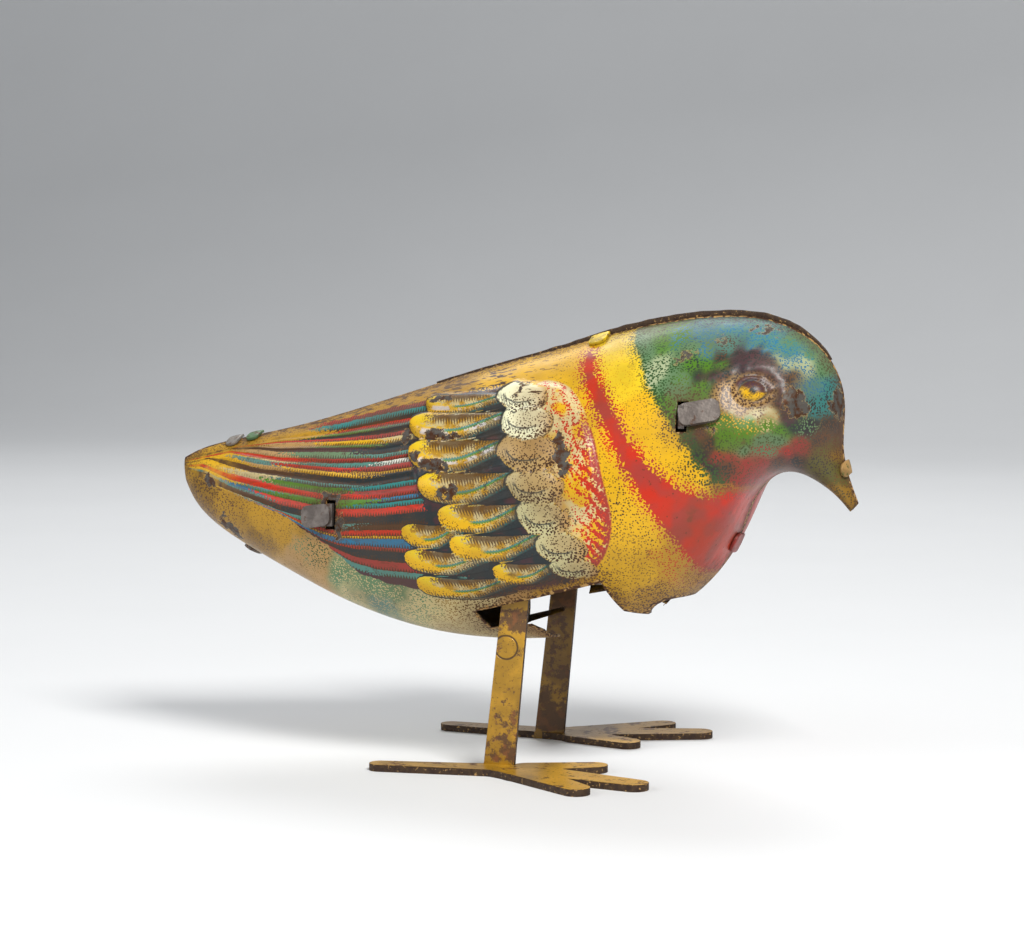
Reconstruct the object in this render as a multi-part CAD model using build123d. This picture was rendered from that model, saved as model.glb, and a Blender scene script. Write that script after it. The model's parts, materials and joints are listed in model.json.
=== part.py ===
from build123d import *
import math
import os

# Wind-up tin bird: two pressed tin half shells clamped on a small clockwork by four bent lugs,
# standing on two swinging strip legs.
# Axes: +X towards the beak, +Z up, the bird's right side towards -Y, the seam in the plane y = 0.
# Every shape is drawn with x = 0 at the ankles and is moved to the middle of the length when saved.

# Driving dimensions, mm
tin = 0.35                 # sheet of the body shells
seam_gap = 0.04            # between the two shells' edges
tail_x = -51.4
beak_x = 47.2
body_half_width = 17.6
ridge_arch = 0.40          # how far the shells meet in a pointed arch along the back
keel_arch = 0.12           # the same along the belly
ridge_fullness = 2.0       # 2 makes the sections elliptical, more makes them boxier
keel_fullness = 2.3
belly_bias = 0.12          # how far the widest line sits below mid height
plate_inner = 8.4          # motor plates' inner faces, either side of the seam
plate = 0.8
leg_inner = 12.7           # leg strips' inner faces
leg_sheet = 0.8
leg_width = 4.4
leg_top_width = 3.6        # at the leg shaft
foot_sheet = 1.0
running = 0.05             # radial clearance of shafts in their holes
module = 0.5
pressure_angle = math.radians(20)

# Shaft places in the x, z plane
winding_at = (-8.0, 38.5)
second_at = (3.72, 45.27)
third_at = (10.81, 38.17)
legs_at = (3.1, 30.5)
pillars_at = {"rear_pillar": (-17.0, 28.2), "front_pillar": (15.5, 28.2), "upper_pillar": (-21.4, 40.3)}
ankle_at = (0.0, 0.0)
head_slot_at = (25.5, 49.3)
tail_slot_at = (-24.2, 34.8)

# Where each gear lies across the toy: lower y, upper y
great_wheel_y = (4.6, 5.6)
ratchet_y = (5.8, 6.7)
spring_y = (-2.2, 3.4)
second_wheel_y = (-5.2, -4.2)
eccentric_y = (-1.2, 1.2)
yoke_y = (-0.6, 0.6)

great_teeth = 44
second_pinion_teeth = 10
second_teeth = 32
third_pinion_teeth = 8
ratchet_teeth = 12

eccentric_throw = 0.9
eccentric_r = 2.15
yoke_gap = 4.2             # half the fork's gap, open enough for the eccentric at any leg angle

key_start = 18.8           # where the key's tube begins, measured from the seam
key_end = 27.3
key_wing_r = 3.9
square_end = 22.5          # end of the winding arbor's square

# Sections from tail to beak: ridge x, z; keel x, z; half width as a share of the body's
stations = [
    (tail_x, 41.2, -50.9, 37.2, 0.05),
    (-48.6, 42.8, -49.0, 34.0, 0.20),
    (-42.8, 44.2, -44.6, 30.4, 0.36),
    (-33.6, 46.1, -34.8, 25.6, 0.57),
    (-24.5, 48.8, -25.6, 21.1, 0.76),
    (-14.0, 52.2, -15.6, 17.9, 0.91),
    (-3.6, 55.4, -6.5, 16.6, 0.985),
    (6.4, 58.0, 5.0, 16.8, 1.0),
    (15.8, 60.8, 15.4, 18.8, 0.975),
    (25.2, 62.5, 25.2, 23.2, 0.86),
    (33.8, 62.6, 30.8, 31.0, 0.72),
    (39.6, 60.4, 32.2, 36.6, 0.64),
    (43.3, 57.0, 34.4, 39.8, 0.54),
    (45.3, 52.4, 36.8, 41.3, 0.42),
    (45.2, 47.9, 39.2, 41.2, 0.28),
    (44.9, 44.3, 41.6, 40.0, 0.19),
    (45.9, 40.4, 44.2, 38.2, 0.12),
    (beak_x, 37.1, 46.1, 35.9, 0.07),
]


def blend(values, t):
    """A smooth curve that follows one value per station, t running from 0 to 1 over them."""
    padded = [2 * values[0] - values[1], *values, 2 * values[-1] - values[-2]]
    place = t * (len(values) - 1)
    i = min(int(place), len(values) - 2)
    f = place - i
    weights = ((1 - f) ** 3, 3 * f**3 - 6 * f**2 + 4, -3 * f**3 + 3 * f**2 + 3 * f + 1, f**3)
    return sum(w * v for w, v in zip(weights, padded[i:i + 4])) / 6


ridge_x, ridge_z, keel_x, keel_z, width_share = zip(*stations)


def section(height):
    """Half width of a section at a height, from -1 at the keel to 1 at the ridge, as a share of its widest."""
    arch, fullness = (ridge_arch, ridge_fullness) if height > 0 else (keel_arch, keel_fullness)
    edge_share = arch / (1 + arch)
    edge_height = (1 - edge_share**fullness) ** (1 / fullness)
    round_part = (1 - abs(height * edge_height) ** fullness) ** (1 / fullness)
    lowered = math.sqrt(1 - belly_bias**2) / (1 + belly_bias * height)
    return ((1 + arch) * round_part - arch) * lowered


def skin_point(t, height):
    """A point of the right half shell: t runs from 0 at the tail to 1 at the beak."""
    up = (1 + height) / 2
    x = blend(ridge_x, t) * up + blend(keel_x, t) * (1 - up)
    z = blend(ridge_z, t) * up + blend(keel_z, t) * (1 - up)
    return Vector(x, -body_half_width * blend(width_share, t) * section(height), z)


def skin_face():
    """The outer surface of the right half shell."""
    along, around = 85, 24
    heights = [math.sin(math.pi * (j / around - 0.5)) for j in range(around + 1)]
    rows = [[skin_point(i / along, h) for h in heights] for i in range(along + 1)]
    return Face.make_surface_from_array_of_points(rows, tol=0.01, min_deg=3, max_deg=5)


skin = skin_face()


def slab(sketch, y_low, y_high):
    """A flat piece drawn in the x, z plane, lying between two y values."""
    return extrude(Plane.XZ.offset(-y_high) * sketch, amount=y_high - y_low)


def rod(at, radius, y_low, y_high):
    return slab(Pos(*at) * Circle(radius), y_low, y_high)


def flat_point(point):
    return point.X, point.Z


def left_of(shape):
    """The same shape on the bird's left side."""
    return mirror(shape, about=Plane.XZ)


def skin_plane(at, direction):
    """A plane on the right half's outside, over the point x, z, with its x axis turned to a direction."""
    outward = Axis((at[0], 0, at[1]), (0, -1, 0))
    point, normal = skin.find_intersection_points(outward)[0]
    if normal.Y > 0:
        normal = -normal
    angle = math.radians(direction)
    along = Vector(math.cos(angle), 0, math.sin(angle))
    return Plane(origin=point, x_dir=along - normal * along.dot(normal), z_dir=normal)


def seam_plane(t, side):
    """A plane on the right half's edge: x along the seam, -y down the right half, z outward."""
    step = 0.004
    edge_point = skin_point(t, side)
    along = skin_point(t + step, side) - skin_point(t - step, side)
    down = skin_point(t, side * 0.97) - edge_point
    outward = down.cross(along) * side
    return Plane(origin=edge_point, x_dir=along * side, z_dir=outward)


# Body shells

def plain_shell():
    half = Solid.thicken(skin, tin, normal_override=(0, 1, 0))
    other_side = Pos(0, 25 - seam_gap / 2, 40) * Box(140, 50, 140)
    return half - other_side


# Lower edges of the cut-out under the body, from below the keel round to its rear corner.
right_flap = [(5.0, 10.0), (5.2, 19.3), (4.0, 20.3), (-1.8, 19.6), (-3.2, 22.1)]
left_flap = [(-3.4, 10.0), (-3.2, 17.0), (-0.8, 18.2), (3.2, 19.4), (3.0, 19.9), (-1.8, 18.8), (-3.2, 22.1)]

# The left half keeps a tongue of tin ahead of the leg.
left_tongue = [(6.0, 24.5), (6.2, 21.7), (9.2, 22.3), (12.4, 26.2)]


def belly_opening(flap, tongue=()):
    """The cut-out that the legs hang through, running on under the chest to two scallops in its lower edge."""
    outline = Polyline((29.3, 26.8), (36, 26.8), (36, 10), *flap)
    outline += Polyline(flap[-1], *tongue, (14.8, 26.8), (16.8, 22.4), (19.2, 21.5))
    outline += ThreePointArc((19.2, 21.5), (21.5, 23.5), (25.6, 23.6))
    outline += ThreePointArc((25.6, 23.6), (26.8, 25.5), (29.3, 26.8))
    return slab(make_face(outline), -30, 30)


def lug_slots():
    slot = Box(1.5, 24, 4.0)
    slots = []
    for at in (head_slot_at, tail_slot_at):
        slots.append(Pos(at[0], -13, at[1]) * slot)
    return slots


def standing_lip():
    """The left shell's edge, which stands a little above the right one along the back and crown."""
    start, end, height, depth = 0.30, 0.71, 0.75, 0.18
    back_share, grows_from, grows_over = 0.35, 0.2, 0.2
    steps = 14
    outer = []
    inner = []
    for i in range(steps + 1):
        place = seam_plane(start + (end - start) * i / steps, 1)
        grown = back_share + (1 - back_share) * max(0.0, i / steps - grows_from) / grows_over
        rise = height * min(1.0, grown, 0.25 + 3 * (steps - i) / steps)
        up = Vector(place.z_dir.X, 0, place.z_dir.Z).normalized()
        outer.append(flat_point(place.origin + up * rise))
        inner.append(flat_point(place.origin - up * depth))
    edge = Spline(*outer) + Line(outer[-1], inner[-1]) + Spline(*inner[::-1]) + Line(inner[0], outer[0])
    return slab(make_face(edge), seam_gap / 2, 0.42)


def tab(t, side, width, length):
    """A round-ended tab of the left shell, folded over the seam onto the right shell."""
    straight = length - width / 2
    flat = Pos(0, -straight / 2 + 0.35) * Rectangle(width, straight + 0.7)
    end = Pos(0, -straight) * Circle(width / 2)
    rest = 0.12
    folded = extrude(flat + end, amount=tin)
    root = Pos(0, 0.55, 0) * Box(width, 0.9, 1.1)
    place = seam_plane(t, side)
    return place * (Pos(0, 0, rest) * folded) + place * root


def tabs():
    """Each by its station along the seam, its side (1 ridge, -1 keel), its width and its length."""
    last = len(stations) - 1
    places = [
        (7.5, 1, 2.6, 3.3),
        (1.85, 1, 2.0, 2.4),
        (2.25, 1, 2.0, 2.2),
        (2.4, -1, 2.6, 2.2),
        (10.1, -1, 2.8, 3.8),
        (15.6, 1, 1.9, 2.3),
    ]
    return [tab(station / last, *size) for station, *size in places]


def open_shell(flap, tongue=()):
    """A right half with its belly opening and lug slots cut."""
    shell = plain_shell() - belly_opening(flap, tongue)
    for slot in lug_slots():
        shell -= slot
    return shell


def right_shell():
    return open_shell(right_flap)


def left_shell():
    """The keyed half: its own belly opening, the key hole, the standing lip and the tabs."""
    shell = left_of(open_shell(left_flap, left_tongue))
    shell -= rod(winding_at, 2.6, 5, 30)
    shell += standing_lip()
    for folded in tabs():
        shell += folded
    return shell


# Clockwork frame

def lug(at, length, direction):
    """One frame lug: a neck through the shell's slot and an end bent flat along the outside."""
    width, round_end, rest = 3.1, 1.1, 0.15
    place = skin_plane(at, direction)
    reach = -place.origin.Y + rest + plate / 2
    neck = Pos(at[0], -(plate_inner + reach) / 2, at[1]) * Box(plate, reach - plate_inner, width)
    shape = Pos(length / 2 - plate / 2, 0) * RectangleRounded(length, width, round_end)
    bent = place * (Pos(0, 0, rest) * extrude(shape, amount=plate))
    return neck + bent


def plate_outline():
    return make_face(Polyline(
        (-20.0, 26.0), (18.0, 25.8), (18.2, 31.0), (15.6, 38.0), (25.6, 47.0), (25.6, 50.9), (23.6, 50.9),
        (11.5, 43.4), (6.0, 47.6), (-9.0, 46.6), (-19.0, 42.4), (-24.0, 42.4), (-24.6, 36.5), (-24.6, 33.1),
        (-20.0, 31.6), close=True
    ))


def right_motor_plate():
    body = slab(plate_outline(), -plate_inner - plate, -plate_inner)
    for at, radius in ((winding_at, 1.5), (second_at, 1.0), (third_at, 1.0), (legs_at, 1.25)):
        body -= rod(at, radius + running, -12, -6)
    for at in pillars_at.values():
        body -= rod(at, 0.9, -12, -6)
    body += lug(head_slot_at, 5.6, 14)
    body += lug(tail_slot_at, 4.8, 186)
    return body


def pillar(at):
    """A spacer with a riveted neck at each end."""
    end = plate_inner + plate
    body = rod(at, 1.3, -plate_inner, plate_inner) + rod(at, 0.9, -end, end)
    for side in (-1, 1):
        body += rod(at, 1.25, *sorted((side * end, side * (end + 0.45))))
    return body


# Gears, arbors and spring

def gear_face(teeth, phase):
    """An involute gear with backlash, its first tooth centred on the angle phase."""
    pitch_r = module * teeth / 2
    base_r = pitch_r * math.cos(pressure_angle)
    tip_r = pitch_r + 0.85 * module
    root_r = pitch_r - 1.25 * module
    half_tooth = 0.43 * math.pi / teeth

    def involute(r):
        slope = math.acos(min(1.0, base_r / r))
        return math.tan(slope) - slope

    start_r = max(base_r, root_r)
    radii = [start_r + (tip_r - start_r) * i / 3 for i in range(4)]
    flank = [(r, half_tooth + involute(pitch_r) - involute(r)) for r in radii]
    flank.insert(0, (root_r, flank[0][1]))
    points = []
    for i in range(teeth):
        centre = phase + 2 * math.pi * i / teeth
        points += [(r * math.cos(centre - a), r * math.sin(centre - a)) for r, a in flank]
        points += [(r * math.cos(centre + a), r * math.sin(centre + a)) for r, a in flank[::-1]]
    clean = [points[0]]
    for point in points[1:]:
        if math.dist(point, clean[-1]) > 1e-4:
            clean.append(point)
    return make_face(Polyline(*clean, close=True))


def direction_to(start, end):
    return math.atan2(end[1] - start[1], end[0] - start[0])


def gear(at, teeth, phase, span, hole):
    body = slab(Pos(*at) * gear_face(teeth, phase), *span)
    return body - rod(at, hole, span[0] - 1, span[1] + 1)


def spoke_windows(at, inner, outer, count, span, turned):
    """Openings of a wheel between its hub, its rim and its spokes."""
    cut = rod(at, outer, span[0] - 1, span[1] + 1) - rod(at, inner, span[0] - 2, span[1] + 2)
    for i in range(count):
        angle = turned + 360 * i / count
        bar = Pos(*at) * Rot(0, 0, angle) * Pos(outer / 2, 0) * Rectangle(outer + 1, 2.2)
        cut -= slab(bar, span[0] - 2, span[1] + 2)
    return cut


def great_wheel():
    phase = direction_to(winding_at, second_at)
    wheel = gear(winding_at, great_teeth, phase, great_wheel_y, 1.5 + running)
    return wheel - spoke_windows(winding_at, 6.6, 9.2, 5, great_wheel_y, 12)


def half_pitch(teeth):
    return math.pi / teeth


def second_pinion():
    phase = direction_to(second_at, winding_at) + half_pitch(second_pinion_teeth)
    span = (great_wheel_y[0] - 0.5, great_wheel_y[1] + 0.5)
    return gear(second_at, second_pinion_teeth, phase, span, 1.0)


def second_wheel():
    phase = direction_to(second_at, third_at)
    wheel = gear(second_at, second_teeth, phase, second_wheel_y, 1.0)
    return wheel - spoke_windows(second_at, 2.6, 6.3, 4, second_wheel_y, 45)


def third_pinion():
    phase = direction_to(third_at, second_at) + half_pitch(third_pinion_teeth)
    span = (second_wheel_y[0] - 0.5, second_wheel_y[1] + 0.5)
    return gear(third_at, third_pinion_teeth, phase, span, 1.0)


def eccentric():
    centre = (third_at[0] + eccentric_throw * 0.64, third_at[1] - eccentric_throw * 0.77)
    disc = rod(centre, eccentric_r, *eccentric_y)
    return disc - rod(third_at, 1.0, -2, 2)


def arbor(at, radius):
    """A plain arbor from one motor plate through the other."""
    end = plate_inner + plate + 0.4
    return rod(at, radius, -end, end)


def winding_arbor():
    """The key's arbor: its square end stands out through the left shell."""
    end = plate_inner + plate + 0.4
    body = rod(winding_at, 1.5, -end, key_start - 0.2)
    square = Pos(*winding_at) * Rectangle(1.9, 1.9)
    return body + slab(square, key_start - 0.2, square_end)


def ratchet_wheel():
    """Saw teeth, steep on one side, fixed on the winding arbor."""
    root, tip = 3.1, 4.0
    points = []
    for i in range(ratchet_teeth):
        angle = 2 * math.pi * i / ratchet_teeth
        lean = 2 * math.pi * 0.93 / ratchet_teeth
        points.append((tip * math.cos(angle), tip * math.sin(angle)))
        points.append((root * math.cos(angle + 0.04), root * math.sin(angle + 0.04)))
        points.append((root * 1.12 * math.cos(angle + lean / 2), root * 1.12 * math.sin(angle + lean / 2)))
    wheel = slab(Pos(*winding_at) * make_face(Polyline(*points, close=True)), *ratchet_y)
    return wheel - rod(winding_at, 1.5, 4, 9)


click_pivot = (winding_at[0] + 6.2 * math.cos(math.radians(95)), winding_at[1] + 6.2 * math.sin(math.radians(95)))
click_tip = (winding_at[0] + 3.95 * math.cos(math.radians(50)), winding_at[1] + 3.95 * math.sin(math.radians(50)))


def click():
    """A pivoted pawl whose tip rests in the ratchet's teeth."""
    eye = Pos(*click_pivot) * Circle(1.15)
    span = (click_tip[0] - click_pivot[0], click_tip[1] - click_pivot[1])
    reach = math.hypot(*span)
    away = (-span[1] / reach, span[0] / reach)
    corners = [
        (click_pivot[0] + away[0] * 1.1, click_pivot[1] + away[1] * 1.1),
        (click_pivot[0] - away[0] * 0.5, click_pivot[1] - away[1] * 0.5),
        click_tip,
        (click_tip[0] + away[0] * 0.7, click_tip[1] + away[1] * 0.7),
    ]
    body = slab(eye + make_face(Polyline(*corners, close=True)), *ratchet_y)
    return body - rod(click_pivot, 0.55 + running, 4, 9)


def click_stud():
    """The rivet in the great wheel that the click turns on."""
    return rod(click_pivot, 0.55, great_wheel_y[1], 7.2) + rod(click_pivot, 1.0, ratchet_y[1] + 0.06, 7.2)


def strip_along(polar, thickness, steps):
    """A thin strip's outline round the winding arbor; polar gives radius and angle for shares from 0 to 1."""
    sides = []
    for extra in (thickness / 2, -thickness / 2):
        points = []
        for i in range(steps + 1):
            r, angle = polar(i / steps)
            x = winding_at[0] + (r + extra) * math.cos(angle)
            points.append((x, winding_at[1] + (r + extra) * math.sin(angle)))
        sides.append(points)
    outer, inner = sides
    edge = Spline(*outer) + Line(outer[-1], inner[-1]) + Spline(*inner[::-1]) + Line(inner[0], outer[0])
    return make_face(edge)


def click_spring():
    """A bent leaf fixed on the great wheel, pressing the click inwards."""
    start = math.radians(122)

    def bent_leaf(share):
        return 8.3 - 1.9 * share**2, start - share * math.radians(62)

    foot_at = (winding_at[0] + 8.3 * math.cos(start), winding_at[1] + 8.3 * math.sin(start))
    return slab(strip_along(bent_leaf, 0.3, 8), *ratchet_y) + rod(foot_at, 0.7, great_wheel_y[1], ratchet_y[1])


def mainspring():
    """A flat spiral round the winding arbor, its outer end opening out to the rear pillar."""
    turns, first_r, last_r = 6, 2.3, 9.6
    end_angle = direction_to(winding_at, pillars_at["rear_pillar"])

    def spiral(share):
        r = first_r + (last_r - first_r) * share + 2.5 * share**40
        return r, end_angle - 2 * math.pi * turns * (1 - share)

    return slab(strip_along(spiral, 0.3, 14 * turns), *spring_y)


def key():
    """A two-winged key with a short tube that fits the arbor's square end."""
    x, z = winding_at
    room = slab(Pos(x, z) * Rectangle(2.0, 2.0), key_start - 1, square_end + 0.2)
    tube = rod(winding_at, 2.1, key_start, square_end + 0.6)
    wing_y = key_end - key_wing_r
    wings = Pos(x, wing_y - 0.7) * Rectangle(7.0, 3.0)
    for side in (-1, 1):
        wings += Pos(x + side * 4.7, wing_y) * Circle(key_wing_r)
        wings -= Pos(x + side * 5.1, wing_y + 0.3) * Circle(1.9)
    return tube + extrude(Plane.XY.offset(z - 0.5) * wings, amount=1.0) - room


# Legs

def leg_strip():
    """The upright strip, leaning forward and narrowing from the ankle to the round eye on the leg shaft."""
    lean = direction_to(ankle_at, legs_at)
    across = (math.sin(lean) * leg_top_width / 2, -math.cos(lean) * leg_top_width / 2)
    ankle_half = math.sin(lean) * leg_width / 2
    corners = [
        (ankle_at[0] + ankle_half, ankle_at[1]),
        (legs_at[0] + across[0], legs_at[1] + across[1]),
        (legs_at[0] - across[0], legs_at[1] - across[1]),
        (ankle_at[0] - ankle_half, ankle_at[1]),
    ]
    strip = make_face(Polyline(*corners, close=True)) + Pos(*legs_at) * Circle(leg_width / 2)
    return slab(strip, -leg_inner - leg_sheet, -leg_inner)


def toe(start, end, start_r, end_r):
    """A bar with round ends that narrows from start to end."""
    run = math.dist(start, end)
    away = ((end[1] - start[1]) / run, (start[0] - end[0]) / run)
    corners = [
        (start[0] + away[0] * start_r, start[1] + away[1] * start_r),
        (end[0] + away[0] * end_r, end[1] + away[1] * end_r),
        (end[0] - away[0] * end_r, end[1] - away[1] * end_r),
        (start[0] - away[0] * start_r, start[1] - away[1] * start_r),
    ]
    bar = make_face(Polyline(*corners, close=True))
    return bar + Pos(*start) * Circle(start_r) + Pos(*end) * Circle(end_r)


def foot_plate():
    """One heel bar and three toes, cut in one flat piece bent outward from the strip."""
    outline = toe((0.2, -14.8), (-16.0, -16.4), 2.2, 1.6)
    outline += toe((0.2, -14.8), (5.2, -15.4), 2.4, 4.4)
    outline += toe((4.4, -13.2), (12.6, -9.6), 2.6, 1.9)
    outline += toe((5.4, -15.6), (20.8, -20.2), 2.9, 2.0)
    outline += toe((4.6, -16.8), (14.2, -25.4), 2.8, 1.9)
    ankle = Pos(0, -leg_inner - 0.9) * Rectangle(leg_width, 1.8)
    return extrude(outline + ankle, amount=foot_sheet)


def right_leg():
    leg = leg_strip() + foot_plate()
    return leg - rod(legs_at, 0.95, -20, -10)


def leg_shaft():
    """The shaft that both legs are riveted to."""
    step = leg_inner
    end = leg_inner + leg_sheet
    body = rod(legs_at, 1.25, -step, step) + rod(legs_at, 0.95, -end, end)
    for side in (-1, 1):
        body += rod(legs_at, 1.5, *sorted((side * end, side * (end + 0.5))))
    return body


def leg_spacer(side):
    """A tube that keeps one leg clear of its motor plate."""
    span = sorted((side * (plate_inner + plate + 0.1), side * leg_inner))
    return rod(legs_at, 2.0, *span) - rod(legs_at, 1.25, -20, 20)


def leg_yoke():
    """The forked arm on the leg shaft that the eccentric rocks."""
    angle = direction_to(legs_at, third_at)
    reach = math.dist(legs_at, third_at)
    prong = 1.5
    wide = 2 * (yoke_gap + prong)
    arm = Pos(reach / 2 - 2.2, 0) * Rectangle(reach - 4.4, 3.2)
    fork = Pos(reach, 0) * Rectangle(9.6, wide) - Pos(reach + 1.4, 0) * Rectangle(9.6, 2 * yoke_gap)
    hub = Circle(2.6)
    body = slab(Pos(*legs_at) * Rot(0, 0, math.degrees(angle)) * (arm + fork + hub), *yoke_y)
    body += rod(legs_at, 2.6, -2.0, 2.0)
    return body - rod(legs_at, 1.25, -3, 3)


# Saving

to_middle = -(tail_x + beak_x) / 2


def save(name, shape):
    export_step(Pos(to_middle, 0, 0) * shape, f"parts/{name}.step")


def main():
    os.makedirs("parts", exist_ok=True)
    save("right_shell", right_shell())
    save("left_shell", left_shell())
    save("right_motor_plate", right_motor_plate())
    save("left_motor_plate", left_of(right_motor_plate()))
    for name, at in pillars_at.items():
        save(name, pillar(at))
    save("winding_arbor", winding_arbor())
    save("key", key())
    save("ratchet_wheel", ratchet_wheel())
    save("great_wheel", great_wheel())
    save("click", click())
    save("click_stud", click_stud())
    save("click_spring", click_spring())
    save("mainspring", mainspring())
    save("second_arbor", arbor(second_at, 1.0))
    save("second_pinion", second_pinion())
    save("second_wheel", second_wheel())
    save("third_arbor", arbor(third_at, 1.0))
    save("third_pinion", third_pinion())
    save("eccentric", eccentric())
    save("leg_shaft", leg_shaft())
    save("leg_yoke", leg_yoke())
    save("right_leg_spacer", leg_spacer(-1))
    save("left_leg_spacer", leg_spacer(1))
    save("right_leg", right_leg())
    save("left_leg", left_of(right_leg()))


main()
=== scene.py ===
"""Looks of the wind up tin bird: printed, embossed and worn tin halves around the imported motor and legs."""

import json
import math

import bpy
import bmesh
import numpy as np
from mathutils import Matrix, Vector


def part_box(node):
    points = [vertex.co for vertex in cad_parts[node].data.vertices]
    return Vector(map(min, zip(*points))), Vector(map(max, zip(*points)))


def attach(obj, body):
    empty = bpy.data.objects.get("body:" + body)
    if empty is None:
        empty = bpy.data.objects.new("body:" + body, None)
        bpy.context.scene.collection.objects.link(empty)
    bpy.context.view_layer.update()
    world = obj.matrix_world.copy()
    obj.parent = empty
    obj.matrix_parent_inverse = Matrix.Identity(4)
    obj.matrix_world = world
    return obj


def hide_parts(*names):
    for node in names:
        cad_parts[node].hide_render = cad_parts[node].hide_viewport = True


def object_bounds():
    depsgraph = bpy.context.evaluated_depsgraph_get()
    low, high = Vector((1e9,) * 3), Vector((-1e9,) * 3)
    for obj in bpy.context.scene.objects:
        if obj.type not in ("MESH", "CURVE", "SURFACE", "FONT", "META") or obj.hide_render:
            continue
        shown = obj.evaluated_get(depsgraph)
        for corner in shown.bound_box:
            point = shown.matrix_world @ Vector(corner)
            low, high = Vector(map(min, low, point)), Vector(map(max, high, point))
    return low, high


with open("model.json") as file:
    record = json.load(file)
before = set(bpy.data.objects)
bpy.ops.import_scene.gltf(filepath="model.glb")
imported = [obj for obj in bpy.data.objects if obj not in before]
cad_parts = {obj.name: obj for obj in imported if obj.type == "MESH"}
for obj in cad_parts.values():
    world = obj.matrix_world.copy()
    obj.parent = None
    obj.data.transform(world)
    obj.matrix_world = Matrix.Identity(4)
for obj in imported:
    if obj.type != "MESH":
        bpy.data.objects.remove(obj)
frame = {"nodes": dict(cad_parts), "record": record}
cad_low, cad_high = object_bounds()

MM = 0.001
shell_low, shell_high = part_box("right_shell")

# ---------------------------------------------------------------- shell form, in millimetres
# x = 0 is at the ankles in this section's own numbers; ANKLE_X is where that lies in the row frame.
TAIL_X = -51.4
BEAK_X = 47.2
ANKLE_X = shell_low.x / MM - TAIL_X
BODY_HALF_WIDTH = 17.6
TIN = 0.35
SEAM_GAP = 0.04
RIDGE_ARCH, KEEL_ARCH = 0.40, 0.12
RIDGE_FULLNESS, KEEL_FULLNESS = 2.0, 2.3
BELLY_BIAS = 0.12

# Sections from the tail to the beak: ridge x, ridge z, keel x, keel z, share of the greatest width.
STATIONS = np.array([
    (TAIL_X, 41.2, -50.9, 37.2, 0.05), (-48.6, 42.8, -49.0, 34.0, 0.20), (-42.8, 44.2, -44.6, 30.4, 0.36),
    (-33.6, 46.1, -34.8, 25.6, 0.57), (-24.5, 48.8, -25.6, 21.1, 0.76), (-14.0, 52.2, -15.6, 17.9, 0.91),
    (-3.6, 55.4, -6.5, 16.6, 0.985), (6.4, 58.0, 5.0, 16.8, 1.0), (15.8, 60.8, 15.4, 18.8, 0.975),
    (25.2, 62.5, 25.2, 23.2, 0.86), (33.8, 62.6, 30.8, 31.0, 0.72), (39.6, 60.4, 32.2, 36.6, 0.64),
    (43.3, 57.0, 34.4, 39.8, 0.54), (45.3, 52.4, 36.8, 41.3, 0.42), (45.2, 47.9, 39.2, 41.2, 0.28),
    (44.9, 44.3, 41.6, 40.0, 0.19), (45.9, 40.4, 44.2, 38.2, 0.12), (BEAK_X, 37.1, 46.1, 35.9, 0.07)])


def blend(values, t):
    """Uniform cubic B-spline through the station values, its ends carried on in a straight line."""
    padded = np.concatenate([[2 * values[0] - values[1]], values, [2 * values[-1] - values[-2]]])
    place = np.asarray(t, float) * (len(values) - 1)
    i = np.clip(np.floor(place).astype(int), 0, len(values) - 2)
    f = place - i
    weights = ((1 - f) ** 3, 3 * f ** 3 - 6 * f ** 2 + 4, -3 * f ** 3 + 3 * f ** 2 + 3 * f + 1, f ** 3)
    return sum(w * padded[i + k] for k, w in enumerate(weights)) / 6


def section(height):
    """Half width of a section as a share, from the keel at -1 to the ridge at 1."""
    high = height > 0
    arch = np.where(high, RIDGE_ARCH, KEEL_ARCH)
    fullness = np.where(high, RIDGE_FULLNESS, KEEL_FULLNESS)
    edge_share = arch / (1 + arch)
    edge_height = (1 - edge_share ** fullness) ** (1 / fullness)
    round_part = np.maximum(1 - np.abs(height * edge_height) ** fullness, 0) ** (1 / fullness)
    lowered = math.sqrt(1 - BELLY_BIAS ** 2) / (1 + BELLY_BIAS * height)
    return ((1 + arch) * round_part - arch) * lowered


def skin_points(t, height):
    """Points of the right half's outer face, in millimetres, for arrays of the two surface places."""
    up = (1 + height) / 2
    x = blend(STATIONS[:, 0], t) * up + blend(STATIONS[:, 2], t) * (1 - up)
    z = blend(STATIONS[:, 1], t) * up + blend(STATIONS[:, 3], t) * (1 - up)
    y = -BODY_HALF_WIDTH * blend(STATIONS[:, 4], t) * section(height)
    return np.stack([x, y, z], axis=-1)


# ---------------------------------------------------------------- flat patterns on the side, x and z in
# millimetres
def smooth(a, b, value):
    """0 below a, 1 above b, an even S between."""
    s = np.clip((value - a) / (b - a), 0, 1)
    return s * s * (3 - 2 * s)


def polygon_distance(x, z, corners):
    """Distance to a closed outline, positive inside."""
    best = np.full(x.shape, 1e9)
    inside = np.zeros(x.shape, bool)
    for (ax, az), (bx, bz) in zip(corners, corners[1:] + corners[:1]):
        ex, ez = bx - ax, bz - az
        t = np.clip(((x - ax) * ex + (z - az) * ez) / (ex * ex + ez * ez), 0, 1)
        best = np.minimum(best, np.hypot(x - ax - t * ex, z - az - t * ez))
        if az != bz:
            inside ^= ((az > z) != (bz > z)) & (x < (bx - ax) * (z - az) / (bz - az) + ax)
    return np.where(inside, best, -best)


def path_distance(x, z, line):
    """Distance to an open line."""
    best = np.full(x.shape, 1e9)
    for (ax, az), (bx, bz) in zip(line, line[1:]):
        ex, ez = bx - ax, bz - az
        t = np.clip(((x - ax) * ex + (z - az) * ez) / (ex * ex + ez * ez), 0, 1)
        best = np.minimum(best, np.hypot(x - ax - t * ex, z - az - t * ez))
    return best


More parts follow.
